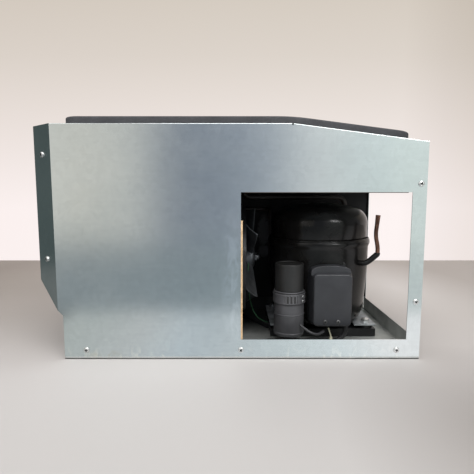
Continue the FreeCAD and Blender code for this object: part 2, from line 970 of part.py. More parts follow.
def top_gasket():
    """Sealing frame whose side view bends smoothly down to the rear."""
    made = body("gasket_frame")
    plan = sketch(made, "gasket_plan", "XY_Plane", rear_height - gasket_height)
    x0 = bend_x + gasket_front
    x1 = bend_x + gasket_rear
    half = outer_y - gasket_inset
    inner_corner = gasket_corner - gasket_width / 2
    rounded(plan, x0, x1, -half, half, gasket_corner)
    rounded(plan, x0 + gasket_width, x1 - gasket_width,
            gasket_width - half, half - gasket_width, inner_corner)
    pad(made, plan, panel_height + gasket_height * 3 - rear_height)
    run = root_of(slope * slope + 1)
    fold = 1 if slope.value > 0 else -1
    bend_radius = gasket_bend * fold / ((run - 1) / slope)
    bend_end = gasket_bend / run
    line = panel_height + gasket_height
    over = sketch(made, "gasket_over", "XZ_Plane")
    outline(over, [
        (front_x, line), (slope_x - gasket_bend, line, bend_radius, -fold),
        (slope_x + bend_end, line - bend_end * slope), (rear_x, rear_height + gasket_height),
        (rear_x, line + gasket_height * 4), (front_x, line + gasket_height * 4),
    ])
    pocket_through(made, over)
    under = sketch(made, "gasket_under", "XZ_Plane")
    band(under, front_x, rear_x, -panel_height / 2, 0)
    pocket_through(made, under)
    doc.recompute()
    edges = []
    for edge in made.Shape.Edges:
        spot = edge.valueAt((edge.FirstParameter + edge.LastParameter) / 2)
        below = panel_height if spot.x < slope_x.value else top_at(spot.x)
        is_high = spot.z > (below + gasket_height - gasket_edge / 2).value
        is_cross_seam = abs(edge.Length - gasket_width.value) < gasket_edge.value
        if is_high and not is_cross_seam:
            edges.append(edge)
    rounded_frame = doc.addObject("Part::Feature", "top_gasket")
    rounded_frame.Shape = made.Shape.makeFillet(gasket_edge.value, edges)
    return keep(rounded_frame)


def fin_block(label, x0, length, half_width, z0, height):
    """Fin pack: plates across the air flow, left joined along the middle where the tubes run."""
    made = body(label)
    plan = sketch(made, label + "_plan", "XY_Plane", z0)
    rectangle(plan, x0, x0 + length, -half_width, half_width)
    pad(made, plan, height)
    count = int((2 * half_width.value - fin_pitch.value) // fin_pitch.value)
    begin = half_width - (half_width * 2 - fin_pitch * (count - 1) - fin_gap) / 2
    reach = length * fin_slot_share
    for name, first in (("front", x0), ("rear", x0 + length - reach)):
        slot = sketch(made, f"{label}_{name}", "XY_Plane", z0 + height)
        rectangle(slot, first, first + reach, begin - fin_gap, begin)
        opening = pocket(made, slot, height)
        row_of(made, opening, slot, "V_Axis", fin_pitch, count, True)
    return keep(made)


def end_plates(label, x0, length, half_width, z0, z1):
    plates = []
    for side, name in ((NEAR, "near"), (FAR, "far")):
        first = half_width if side == FAR else -half_width - coil_plate
        plates.append(block(f"{label}_{name}", x0, x0 + length, first, first + coil_plate, z0, z1))
    return keep(group(label, plates), label)


def tube_bend_between(name, first, last, side, y):
    """Half ring that joins two tubes outside an end plate; first and last are (x, z)."""
    run_x = as_size(first[0] - last[0])
    run_z = as_size(first[1] - last[1])
    upright = abs(run_z.value) > abs(run_x.value)
    made = doc.addObject("Part::Torus", name)
    bind(made, "Radius1", (run_z if upright else run_x) / 2)
    bind(made, "Radius2", coil_tube)
    made.Angle3 = 180
    start = Vector(0, 0, 1) if upright else Vector(1, 0, 0)
    outward = Vector(0, side, 0)
    turn = Rotation(start, outward, start.cross(outward))
    return place(made, (first[0] + last[0]) / 2, y, (first[1] + last[1]) / 2, turn)


def tube_places(x0, z0, columns, rows, column_pitch, tube_pitch, length, height):
    """Tube centres as a table of columns, each a list from the lowest tube up."""
    first_x = x0 + (length - column_pitch * (columns - 1)) / 2
    first_z = z0 + (height - tube_pitch * (rows - 1)) / 2
    return [[(first_x + column_pitch * column, first_z + tube_pitch * row)
             for row in range(rows)] for column in range(columns)]


def serpentine(label, places, half_width):
    """Tube bends of a coil: near side joins rows 0-1, 2-3 and so on, far side the rest."""
    bends = []
    outside = half_width + coil_plate
    rows = len(places[0])
    for column, tubes in enumerate(places):
        for row in range(rows - 1):
            side = NEAR if row % 2 == 0 else FAR
            name = f"{label}_{column}_{row}"
            bends.append(tube_bend_between(name, tubes[row + 1], tubes[row], side, outside * side))
    for column in range(len(places) - 1):
        row = 0 if column % 2 == 0 else rows - 1
        name = f"{label}_link_{column}"
        first = places[column + 1][row]
        bends.append(tube_bend_between(name, first, places[column][row], FAR, outside))
    return keep(group(label, bends), label)


evaporator_tubes = tube_places(
    evaporator_x, evaporator_z, evaporator_columns, evaporator_rows,
    evaporator_column_pitch, evaporator_tube_pitch, evaporator_length, evaporator_height)


def evaporator():
    fin_block("evaporator_fin_pack", evaporator_x, evaporator_length, evaporator_half_width,
              evaporator_z, evaporator_height)
    end_plates("evaporator_end_plates", evaporator_x, evaporator_length, evaporator_half_width,
               liner_floor, evaporator_z + evaporator_height + evaporator_lift)
    serpentine("evaporator_tube_bends", evaporator_tubes, evaporator_half_width)


fan_deck_high = evaporator_z + evaporator_height + evaporator_lift
fan_deck_low = fan_deck_high - fan_deck_drop
cool_fan_x = (evaporator_end + fan_deck_drop + cavity_rear) / 2
cool_fan_z = fan_deck_low - cool_fan_depth
cool_fan_offset = cool_screw_pitch / 2
cool_fan_corners = [(along, across) for along in (-1, 1) for across in (-1, 1)]


def evaporator_fan_deck():
    """Joggled plate that covers the coil and carries the fan."""
    made = body("evaporator_fan_deck")
    side = sketch(made, "fan_deck_profile", "XZ_Plane")
    step_x = evaporator_end + seam_gap
    outline(side, [
        (evaporator_x, fan_deck_high), (step_x, fan_deck_high),
        (step_x + fan_deck_drop, fan_deck_low), (cavity_rear - seam_gap, fan_deck_low),
        (cavity_rear - seam_gap, fan_deck_low + sheet),
        (step_x + fan_deck_drop + sheet / 2, fan_deck_low + sheet),
        (step_x + sheet / 2, fan_deck_high + sheet), (evaporator_x, fan_deck_high + sheet),
    ])
    pad_both(made, side, (cavity_y - seam_gap) * 2)
    edge = sketch(made, "fan_deck_edge", "XY_Plane")
    rounded(edge, cavity_front + seam_gap, cavity_rear - seam_gap,
            seam_gap - cavity_y, cavity_y - seam_gap, cavity_corner)
    rectangle(edge, front_x, rear_x, -outer_y, outer_y)
    pocket_through(made, edge)
    holes = sketch(made, "fan_deck_holes", "XY_Plane", fan_deck_low + sheet)
    circle(holes, cool_fan_x, 0, cool_fan_bore)
    for along, across in cool_fan_corners:
        circle(holes, cool_fan_x + cool_fan_offset * along, cool_fan_offset * across, screw_hole)
    pocket(made, holes, sheet)
    return keep(made)


def wheel_blade(wheel, name, at, chord, pitch, thickness, middle):
    """Section of a fan blade: a thin cambered plate, set at its pitch, at one radius."""
    made = sketch(wheel, name, "YZ_Plane", at)
    along_y = cosine(pitch) * chord / 2
    along_z = sine(pitch) * chord / 2
    skin_y = sine(pitch) * thickness / 2
    skin_z = cosine(pitch) * thickness / 2
    camber = chord * blade_camber
    outline(made, [
        (-along_y + skin_y, middle - along_z - skin_z, camber, 1),
        (along_y + skin_y, middle + along_z - skin_z),
        (along_y - skin_y, middle + along_z + skin_z, camber, -1),
        (-along_y - skin_y, middle - along_z + skin_z),
    ])
    return made


def blades(wheel, name, inside, tip, chords, pitches, thickness, middle, count):
    """Twisted blades lofted from inside the hub's wall to just past the tip, all round."""
    root = wheel_blade(wheel, name + "_root", inside, chords[0], pitches[0], thickness, middle)
    end = wheel_blade(wheel, name + "_tip", tip * blade_overrun, chords[1], pitches[1], thickness, middle)
    loft = wheel.newObject("PartDesign::AdditiveLoft", name + "_loft")
    loft.Profile = root
    loft.Sections = [end]
    ring_of(wheel, loft, count)


def round_off(label, wheel, tip, x, y, z, height, turn):
    """Trim a wheel's blade tips to one circle."""
    rim = cylinder(label + "_rim", tip, height, x, y, z, turn)
    made = doc.addObject("Part::Common", label + "_trimmed")
    made.Base = wheel
    made.Tool = rim
    return keep(made, label)


def evaporator_fan_frame():
    """Square fan frame with struts that carry the motor in its middle."""
    made = body("evaporator_fan_frame")
    plan = sketch(made, "fan_frame_plan", "XY_Plane")
    half = cool_fan_size / 2
    reach = cool_fan_bore + cool_strut_lap
    rounded(plan, -half, half, -half, half, half - cool_fan_offset)
    circle(plan, 0, 0, cool_fan_bore)
    pad(made, plan, cool_fan_depth)
    spokes = sketch(made, "fan_frame_struts", "XY_Plane")
    rectangle(spokes, -reach, reach, -cool_strut, cool_strut)
    pad(made, spokes, cool_strut)
    cross = sketch(made, "fan_frame_cross", "XY_Plane")
    rectangle(cross, -cool_strut, cool_strut, -reach, reach)
    pad(made, cross, cool_strut)
    motor = sketch(made, "fan_frame_motor", "XY_Plane")
    circle(motor, 0, 0, cool_fan_motor)
    pad(made, motor, cool_fan_depth - cool_fan_cup - cool_fan_clear * 2)
    holes = sketch(made, "fan_frame_holes", "XY_Plane", cool_fan_depth)
    circle(holes, 0, 0, cool_shaft + shaft_play)
    for along, across in cool_fan_corners:
        circle(holes, cool_fan_offset * along, cool_fan_offset * across, screw_hole)
    pocket(made, holes, cool_fan_depth)
    return keep(place(made, cool_fan_x, 0, cool_fan_z))


def evaporator_fan_rotor():
    made = body("evaporator_fan_wheel")
    low = cool_strut + cool_fan_clear
    top = cool_fan_depth - cool_fan_clear
    cup = sketch(made, "rotor_cup", "XZ_Plane")
    outline(cup, [
        (0, low), (cool_shaft, low), (cool_shaft, top - cool_fan_cup),
        (cool_fan_hub - cool_fan_cup, top - cool_fan_cup), (cool_fan_hub - cool_fan_cup, low),
        (cool_fan_hub, low), (cool_fan_hub, top), (0, top),
    ])
    revolve(made, cup)
    inside = cool_fan_hub - cool_fan_cup / 2
    blades(made, "rotor_blade", inside, cool_fan_bore - cool_tip_gap,
           (cool_root_chord, cool_tip_chord), (cool_root_pitch, cool_tip_pitch),
           cool_blade, (low + top) / 2, cool_fan_blades)
    place(made, cool_fan_x, 0, cool_fan_z)
    return round_off("evaporator_fan_rotor", made, cool_fan_bore - cool_tip_gap,
                     cool_fan_x, 0, cool_fan_z, cool_fan_depth, Rotation())


def wire_guard(label, radius, rings, turn, x, y, z):
    """Round wire guard: concentric rings on radial wires."""
    pieces = []
    for index in range(rings):
        ring = doc.addObject("Part::Torus", f"{label}_ring_{index}")
        bind(ring, "Radius1", radius * (rings - index) / rings)
        bind(ring, "Radius2", guard_wire)
        place(ring, x, y, z, turn)
        pieces.append(ring)
    for index in range(4):
        along = turn.multiply(Rotation(Vector(0, 0, 1), 90 * index + 45))
        along = along.multiply(Rotation(Vector(0, 1, 0), 90))
        length = radius * (rings - 1) / rings
        direction = along.multVec(Vector(0, 0, 1))
        inner = radius / rings
        pieces.append(cylinder(
            f"{label}_wire_{index}", guard_wire, length, x + inner * direction.x,
            y + inner * direction.y, z + inner * direction.z, along))
    return keep(fuse(label, pieces), label)


def evaporator_fan_screws():
    screws = []
    for index, (along, across) in enumerate(cool_fan_corners):
        screws.append(sheet_screw(
            f"cool_fan_screw_{index}", cool_fan_x + cool_fan_offset * along,
            cool_fan_offset * across, fan_deck_low + sheet, Rotation()))
    return keep(group("evaporator_fan_screws", screws), "evaporator_fan_screws")


def drain_tube():
    """Flanged spout from the liner's floor down to the tray."""
    made = body("drain_tube")
    low = tray_flange - liner_floor
    bore = drain_radius - drain_wall
    wall = sketch(made, "drain_section", "XZ_Plane")
    outline(wall, [
        (bore, low), (drain_radius, low), (drain_radius, 0), (drain_radius + drain_flange, 0),
        (drain_radius + drain_flange, drain_wall), (bore, drain_wall),
    ])
    revolve(made, wall)
    return keep(place(made, drain_x, drain_y, liner_floor))


# Condensing side
condenser_x = bend_x + condenser_front
condenser_end = condenser_x + condenser_length
condenser_top = condenser_bottom + condenser_height
condenser_tubes = tube_places(
    condenser_x, condenser_bottom, condenser_columns, condenser_rows,
    condenser_column_pitch, condenser_tube_pitch, condenser_length, condenser_height)
shroud_x = condenser_end + seam_gap
shroud_end = shroud_x + shroud_length
strap_end = shroud_end - sheet
strap_x = strap_end - bracket_sheet
fan_turn = Rotation(Vector(0, 0, 1), Vector(1, 0, 0))


def condenser():
    fin_block("condenser_fin_pack", condenser_x, condenser_length, condenser_half_width,
              condenser_bottom, condenser_height)
    end_plates("condenser_end_plates", condenser_x, condenser_length, condenser_half_width,
               sheet, condenser_top + shroud_margin)
    serpentine("condenser_tube_bends", condenser_tubes, condenser_half_width)


def condenser_fan_shroud():
    """Sheet hood from the coil to the fan, with a rolled ring round the blades."""
    made = body("condenser_fan_shroud")
    half = condenser_half_width + coil_plate
    top = condenser_top + shroud_margin
    ring = fan_radius + fan_tip_gap
    face = sketch(made, "shroud_face", "YZ_Plane", shroud_x)
    rectangle(face, -half, half, sheet, top)
    pad(made, face, shroud_length)
    inside = sketch(made, "shroud_inside", "YZ_Plane", shroud_x)
    rectangle(inside, sheet - half, half - sheet, sheet * 2, top - sheet)
    pocket(made, inside, shroud_length - sheet, 1)
    rim = sketch(made, "shroud_rim", "YZ_Plane", shroud_end)
    circle(rim, 0, fan_z, ring + sheet)
    pad(made, rim, shroud_ring)
    hole = sketch(made, "shroud_hole", "YZ_Plane", shroud_end + shroud_ring)
    circle(hole, 0, fan_z, ring)
    pocket(made, hole, shroud_ring + sheet * 2)
    return keep(made)


def condenser_motor_bracket():
    """Upright strap across the fan opening that carries the motor."""
    made = body("condenser_motor_bracket")
    strap = sketch(made, "bracket_strap", "YZ_Plane", strap_x)
    reach = fan_radius + fan_tip_gap + bracket_lap
    rectangle(strap, -bracket_width / 2, bracket_width / 2, fan_z - reach, fan_z + reach)
    pad(made, strap, bracket_sheet)
    hub = sketch(made, "bracket_hub", "YZ_Plane", strap_x)
    circle(hub, 0, fan_z, bracket_width)
    pad(made, hub, bracket_sheet)
    hole = sketch(made, "bracket_hole", "YZ_Plane", strap_end)
    circle(hole, 0, fan_z, fan_bore * 2)
    pocket(made, hole, bracket_sheet)
    return keep(made)


def condenser_fan_motor():
    """Round motor: end bells either side of the lamination stack, bored for the shaft."""
    made = body("condenser_fan_motor")
    section = sketch(made, "motor_section", "XZ_Plane")
    bore = fan_bore + shaft_play
    bell = (motor_length - stack_length) / 2
    outline(section, [
        (bore, -motor_bore), (bore, 0), (motor_nose, 0),
        (motor_radius - motor_rounding, 0, motor_rounding, -1),
        (motor_radius, -motor_rounding), (motor_radius, -bell), (stack_radius, -bell),
        (stack_radius, -bell - stack_length), (motor_radius, -bell - stack_length),
        (motor_radius, motor_rounding - motor_length, motor_rounding, -1),
        (motor_radius - motor_rounding, -motor_length), (0, -motor_length), (0, -motor_bore),
    ])
    revolve(made, section)
    return keep(place(made, strap_x, 0, fan_z, fan_turn))


def condenser_fan():
    """The turning pieces: shaft, blades on their hub, and the nut that holds them."""
    shaft_low = strap_x - shaft_depth
    hub_x = strap_end + fan_gap
    hub_end = hub_x + fan_hub_length
    shaft_end = hub_end + fan_bore * 2
    keep(cylinder("condenser_fan_shaft", fan_bore, shaft_end - shaft_low, shaft_low, 0, fan_z,
                  fan_turn), "condenser_fan_shaft")
    wheel = body("condenser_fan_wheel")
    hub = sketch(wheel, "wheel_hub", "XZ_Plane")
    outline(hub, [
        (fan_bore + shaft_play, 0), (fan_hub, 0),
        (fan_hub, fan_hub_length - hub_rounding, hub_rounding, 1),
        (fan_hub - hub_rounding, fan_hub_length), (fan_bore + shaft_play, fan_hub_length),
    ])
    revolve(wheel, hub)
    blades(wheel, "wheel_blade", blade_root, fan_radius, (root_chord, tip_chord),
           (root_pitch, tip_pitch), blade_sheet, fan_hub_length / 2, fan_blades)
    place(wheel, hub_x, 0, fan_z, fan_turn)
    round_off("condenser_fan_blades", wheel, fan_radius, hub_x - tip_chord / 2, 0, fan_z,
              fan_hub_length + tip_chord, fan_turn)
    nut = doc.addObject("Part::Prism", "fan_nut_hex")
    nut.Polygon = 6
    bind(nut, "Circumradius", fan_nut)
    bind(nut, "Height", fan_bore)
    place(nut, hub_end, 0, fan_z, fan_turn)
    bore = cylinder("fan_nut_bore", fan_bore + shaft_play, fan_bore * 3, hub_end - fan_bore, 0,
                    fan_z, fan_turn)
    keep(cut("condenser_fan_nut", nut, [bore]), "condenser_fan_nut")


# Compressor and what it carries
rail_top = sheet + rail_height
grommet_top = rail_top + grommet_height
feet_top = grommet_top + foot_sheet


def compressor_rails():
    """Two channels, open below, across which the compressor's feet stand."""
    made = body("compressor_rails")
    section = sketch(made, "rail_section", "YZ_Plane", compressor_x - feet_length / 2)
    for side in (NEAR, FAR):
        outer = compressor_y + feet_width / 2 * side
        inner = outer - rail_width * side
        outline(section, [
            (outer, sheet), (outer, rail_top), (inner, rail_top), (inner, sheet),
            (inner + rail_sheet * side, sheet), (inner + rail_sheet * side, rail_top - rail_sheet),
            (outer - rail_sheet * side, rail_top - rail_sheet), (outer - rail_sheet * side, sheet),
        ])
    pad(made, section, feet_length)
    holes = sketch(made, "rail_holes", "XY_Plane", rail_top)
    for x, y in foot_bolt_places:
        circle(holes, x, y, bolt_radius + bolt_play)
    pocket(made, holes, rail_sheet)
    return keep(made)


def compressor_grommets():
    made = body("compressor_grommets")
    plan = sketch(made, "grommet_plan", "XY_Plane", rail_top)
    for x, y in foot_bolt_places:
        circle(plan, x, y, grommet_radius)
        circle(plan, x, y, bolt_radius + bolt_play)
    pad(made, plan, grommet_height)
    return keep(made)


def compressor_feet():
    made = body("compressor_feet")
    plan = sketch(made, "feet_plan", "XY_Plane", grommet_top)
    for along in (-1, 1):
        outer = compressor_x + feet_length / 2 * along
        rectangle(plan, outer - foot_strap * along, outer,
                  compressor_y - feet_width / 2, compressor_y + feet_width / 2)
    for x, y in foot_bolt_places:
        circle(plan, x, y, bolt_radius + bolt_play)
    pad(made, plan, foot_sheet)
    return keep(made)


def compressor_bolts():
    """Studs through tray, rail, grommet and foot, each with its hexagon nut."""
    bolts = []
    for index, (x, y) in enumerate(foot_bolt_places):
        stud = cylinder(f"foot_stud_{index}", bolt_radius, feet_top + bolt_head_height + sheet,
                        x, y, 0)
        nut = doc.addObject("Part::Prism", f"foot_nut_{index}")
        nut.Polygon = 6
        bind(nut, "Circumradius", bolt_head)
        bind(nut, "Height", bolt_head_height)
        place(nut, x, y, feet_top)
        bolts.append(fuse(f"foot_bolt_{index}", [stud, nut]))
    return keep(group("compressor_bolts", bolts), "compressor_bolts")


def compressor_shells():
    """Drawn steel cups: the lower one flares into the weld seam, the upper one is domed."""
    lower = body("compressor_lower_shell")
    cup = sketch(lower, "lower_section", "XZ_Plane")
    neck = weld_z - weld_band
    outline(cup, [
        (0, feet_top), (lower_radius - dish_height, feet_top, dish_height, 1),
        (lower_radius, feet_top + dish_height),
        (lower_radius, neck - (weld_radius - lower_radius)), (weld_radius, neck),
        (weld_radius, weld_z), (0, weld_z),
    ])
    revolve(lower, cup)
    keep(place(lower, compressor_x, compressor_y, 0))
    upper = body("compressor_upper_shell")
    dome = sketch(upper, "upper_section", "XZ_Plane")
    dome_x = upper_radius - shoulder_in
    dome_z = shoulder_z + shoulder_rise
    rise = crown_z - dome_z
    outline(dome, [
        (0, weld_z), (upper_radius, weld_z), (upper_radius, shoulder_z, shoulder_bend, 1),
        (dome_x, dome_z, (dome_x * dome_x + rise * rise) / (rise * 2), 1), (0, crown_z),
    ])
    revolve(upper, dome)
    keep(place(upper, compressor_x, compressor_y, 0))


cover_x = compressor_x + cover_offset
cover_y = near_y + cover_front
cover_back_y = cover_y + cover_depth
cover_top = cover_bottom + cover_height


def shell_cutter(name, gap):
    """The compressor's lower shell, grown by a gap, to seat what leans against it."""
    return cylinder(name, lower_radius + gap, weld_z, compressor_x, compressor_y, 0)


def terminal_cover():
    """Moulded cover over the terminals, drafted to a wider frame against the shell."""
    made = body("terminal_cover_moulding")
    front = sketch(made, "cover_front_face", "XZ_Plane", cover_y)
    half = cover_width / 2
    rounded(front, cover_x - half, cover_x + half, cover_bottom, cover_top, cover_corner)
    back = sketch(made, "cover_back_face", "XZ_Plane", cover_back_y)
    rounded(back, cover_x - half - cover_flare, cover_x + half + cover_flare,
            cover_bottom - cover_flare / 2, cover_top + cover_flare, cover_corner)
    loft = made.newObject("PartDesign::AdditiveLoft", "cover_loft")
    loft.Profile = front
    loft.Sections = [back]
    seated = cut("cover_seated", made, [shell_cutter("cover_seat", cover_seat_gap)])
    doc.recompute()
    front_edges = [edge for edge in seated.Shape.Edges
                   if all(abs(vertex.Y - cover_y.value) < cover_seat_gap.value for vertex in edge.Vertexes)]
    cover = doc.addObject("Part::Feature", "terminal_cover")
    cover.Shape = seated.Shape.makeFillet(cover_edge.value, front_edges)
    keep(cover)


def terminal_cover_screws():
    """Two small screws low on the cover's face."""
    front_turn = side_turn(NEAR)
    screws = []
    for index, along in enumerate((-cover_screw_left, cover_screw_right)):
        screws.append(cone(
            f"cover_screw_{index}", cover_screw, cover_screw - cover_screw_height / 2,
            cover_screw_height, cover_x + along, cover_y, cover_bottom + cover_corner, front_turn))
    return keep(group("terminal_cover_screws", screws), "terminal_cover_screws")


def cover_clip():
    """Bent steel strip up the shell that snaps over the back frame of the terminal cover."""
    made = body("cover_clip_strip")
    middle = cover_x - cover_width / 2 - clip_width
    side = sketch(made, "clip_profile", "YZ_Plane", middle - clip_width / 2)
    low = cover_top + cover_flare + seam_gap
    skin = cover_back_y - clip_sheet
    buried = cover_back_y + clip_width * 2
    bend_z = clip_top - clip_hook
    outline(side, [
        (buried, low), (skin, low), (skin, bend_z), (skin - clip_hook, clip_top),
        (skin - clip_hook + clip_sheet, clip_top + clip_sheet / 2),
        (skin + clip_sheet, bend_z), (buried, bend_z),
    ])
    pad(made, side, clip_width)
    seat = shell_cutter("clip_seat", 0)
    return keep(cut("cover_clip", made, [seat]), "cover_clip")


capacitor_x = bend_x + capacitor_from_bend
capacitor_y = near_y + capacitor_back
boot_radius = capacitor_radius + boot_wall
clamp_top = boot_top - clamp_sheet * 2


def capacitor():
    """Start capacitor can standing in its end boot."""
    can = body("capacitor_can")
    section = sketch(can, "can_section", "XZ_Plane")
    rounding = boot_wall
    outline(section, [
        (0, capacitor_bottom + boot_wall), (capacitor_radius, capacitor_bottom + boot_wall),
        (capacitor_radius, capacitor_top - rounding, rounding, 1),
        (capacitor_radius - rounding, capacitor_top),
        (capacitor_radius - rounding * 2, capacitor_top),
        (capacitor_radius - rounding * 2, capacitor_top - rounding),
        (0, capacitor_top - rounding),
    ])
    revolve(can, section)
    keep(place(can, capacitor_x, capacitor_y, 0))
    boot = body("capacitor_boot")
    wall = sketch(boot, "boot_section", "XZ_Plane")
    outline(wall, [
        (0, capacitor_bottom), (boot_radius, capacitor_bottom), (boot_radius, boot_top),
        (capacitor_radius, boot_top), (capacitor_radius, capacitor_bottom + boot_wall),
        (0, capacitor_bottom + boot_wall),
    ])
    revolve(boot, wall)
    keep(place(boot, capacitor_x, capacitor_y, 0))


def capacitor_clamp():
    """Band round the boot with a lug that is fixed to the compressor's shell."""
    band_outer = cylinder("clamp_outer", boot_radius + clamp_sheet, clamp_band,
                          capacitor_x, capacitor_y, clamp_top - clamp_band)
    run_x = (compressor_x - capacitor_x).value
    run_y = (compressor_y - capacitor_y).value
    heading = math.degrees(math.atan2(run_y, run_x))
    distance = root_of((compressor_x - capacitor_x) * (compressor_x - capacitor_x)
                       + (compressor_y - capacitor_y) * (compressor_y - capacitor_y))
    lug = doc.addObject("Part::Box", "clamp_lug")
    bind(lug, "Length", distance)
    bind(lug, "Width", clamp_band)
    bind(lug, "Height", clamp_band)
    sideways = Rotation(Vector(0, 0, 1), heading).multVec(Vector(0, 1, 0))
    place(lug, capacitor_x - clamp_band / 2 * sideways.x, capacitor_y - clamp_band / 2 * sideways.y,
          clamp_top - clamp_band, Rotation(Vector(0, 0, 1), heading))
    whole = fuse("clamp_whole", [band_outer, lug])
    bore = cylinder("clamp_bore", boot_radius, clamp_band * 3, capacitor_x, capacitor_y,
                    clamp_top - clamp_band * 2)
    seat = shell_cutter("clamp_seat", cover_seat_gap)
    keep(cut("capacitor_clamp", whole, [bore, seat]), "capacitor_clamp")


def shell_point(angle, z, radius=lower_radius):
    """A place on the compressor's lower shell, at an angle from +X."""
    return (compressor_x + radius * cosine(angle), compressor_y + radius * sine(angle), z)


discharge_z = condenser_tubes[-1][-1][1]
pipe_y = condenser_half_width + coil_plate + pipe_lane
suction_run = deck_z - suction_radius - pipe_clear


def refrigerant_tubes():
    leave = shell_point(discharge_angle, discharge_low)
    turn = shell_point(discharge_angle, discharge_low, lower_radius + pipe_stand)
    inlet = condenser_tubes[-1][-1]
    plate_y = condenser_half_width + coil_plate
    tube("discharge_line", [
        leave, turn, (turn[0], turn[1], discharge_z), (turn[0], pipe_y, discharge_z),
        (inlet[0], pipe_y, discharge_z), (inlet[0], plate_y, discharge_z),
    ], tube_radius, tube_bend)
    leave = shell_point(suction_angle, suction_low)
    turn = shell_point(suction_angle, suction_low, lower_radius + pipe_stand)
    outlet = evaporator_tubes[-1][-1]
    tube("suction_line", [
        leave, turn, (turn[0], turn[1], suction_run), (suction_x, suction_y, suction_run),
        (suction_x, suction_y, outlet[1]), (outlet[0], suction_y, outlet[1]),
        (outlet[0], evaporator_half_width + coil_plate, outlet[1]),
    ], suction_radius, tube_bend)
    outlet = condenser_tubes[0][-1]
    drier_x = condenser_x - drier_back
    drier_top = outlet[1] - drier_drop
    tube("liquid_line", [
        (outlet[0], plate_y, outlet[1]), (outlet[0], pipe_y, outlet[1]),
        (drier_x, pipe_y, outlet[1]), (drier_x, pipe_y, drier_top),
    ], tube_radius, tube_bend)
    drier = body("filter_drier")
    section = sketch(drier, "drier_section", "XZ_Plane")
    outline(section, [
        (0, 0), (tube_radius, 0), (drier_radius, drier_neck),
        (drier_radius, drier_length - drier_neck),
        (tube_radius, drier_length), (0, drier_length),
    ])
    revolve(drier, section)
    keep(place(drier, drier_x, pipe_y, drier_top - drier_length))
    capillary_low = drier_top - drier_length - capillary_loop
    inlet = evaporator_tubes[0][-1]
    tube("capillary_tube", [
        (drier_x, pipe_y, drier_top - drier_length), (drier_x, pipe_y, capillary_low),
        (capillary_x, pipe_y, capillary_low), (capillary_x, pipe_y, suction_run),
        (capillary_x, capillary_y, suction_run), (capillary_x, capillary_y, inlet[1]),
        (inlet[0], capillary_y, inlet[1]), (inlet[0], evaporator_half_width + coil_plate, inlet[1]),
    ], capillary_radius, capillary_bend)


def process_tubes():
    """Painted stub on the shell, then the copper filling tube that is pinched off on top."""
    leave = shell_point(process_angle, process_z)
    out = shell_point(process_angle, process_z, lower_radius + stub_radius * 3)
    rise_x = out[0] + process_out
    tube("process_stub", [
        leave, out, (rise_x, out[1], process_z), (rise_x, out[1], process_joint),
    ], stub_radius, stub_radius * 2)
    tube("process_tube", [
        (rise_x, out[1], process_joint), (rise_x, out[1], process_joint + stub_radius * 2),
        (rise_x - stub_radius, out[1], process_kink),
        (rise_x - stub_radius / 4, out[1], process_top),
    ], tube_radius, tube_bend)


def junction_box():
    """Open box against the far panel, with a lid towards the intake side of the coil."""
    made = body("junction_box")
    face = sketch(made, "box_face", "XZ_Plane", inner_y)
    rounded(face, box_x, box_x + box_length, box_z, box_z + box_height, box_wall * 2)
    pad(made, face, box_depth - box_wall, NEAR)
    inside = sketch(made, "box_inside", "XZ_Plane", box_y + box_wall)
    rounded(inside, box_x + box_wall, box_x + box_length - box_wall,
            box_z + box_wall, box_z + box_height - box_wall, box_wall)
    pocket(made, inside, box_depth - box_wall * 2, FAR)
    hole = sketch(made, "box_gland_hole", "XZ_Plane", inner_y)
    circle(hole, box_middle, gland_z, gland_radius + seam_gap)
    pocket(made, hole, box_wall, NEAR)
    keep(made)
    lid = body("junction_box_lid")
    plate = sketch(lid, "box_lid_face", "XZ_Plane", box_y + box_wall)
    rounded(plate, box_x, box_x + box_length, box_z, box_z + box_height, box_wall * 2)
    circle(plate, box_middle, gland_z, cable_radius)
    pad(lid, plate, box_wall, NEAR)
    keep(lid)


def cable_gland():
    """Gland through the far panel, where the mains lead would enter."""
    made = body("cable_gland")
    section = sketch(made, "gland_section", "XZ_Plane")
    outline(section, [
        (gland_bore, -box_wall * 3), (gland_radius, -box_wall * 3), (gland_radius, sheet),
        (gland_flange, sheet), (gland_flange, sheet + gland_rise / 2),
        (gland_bore + gland_rise, sheet + gland_rise), (gland_bore, sheet + gland_rise),
    ])
    revolve(made, section)
    return keep(place(made, box_middle, inner_y, gland_z, side_turn(FAR)))


cable_z = sheet + cable_radius + cable_clear
cable_x = cover_x + cable_exit
cable_y = cover_back_y - cover_depth / 2


def compressor_cable():
    """Lead from the terminal cover along the near side of the tray to the junction box."""
    lane_y = cable_radius + cable_clear + sheet - inner_y
    start_z = cover_bottom - cover_flare / 4 - seam_gap * 2
    leave_x = shroud_end + shroud_ring + cable_step
    return tube("compressor_cable", [
        (cable_x, cable_y, start_z), (cable_x, cable_y, cable_z),
        (leave_x, cable_y, cable_z), (leave_x - cable_step, lane_y, cable_z),
        (box_middle, lane_y, cable_z), (box_middle, box_y - cable_step * 2, cable_z),
        (box_middle, box_y - cable_step, gland_z), (box_middle, box_y, gland_z),
    ], cable_radius, cable_bend)


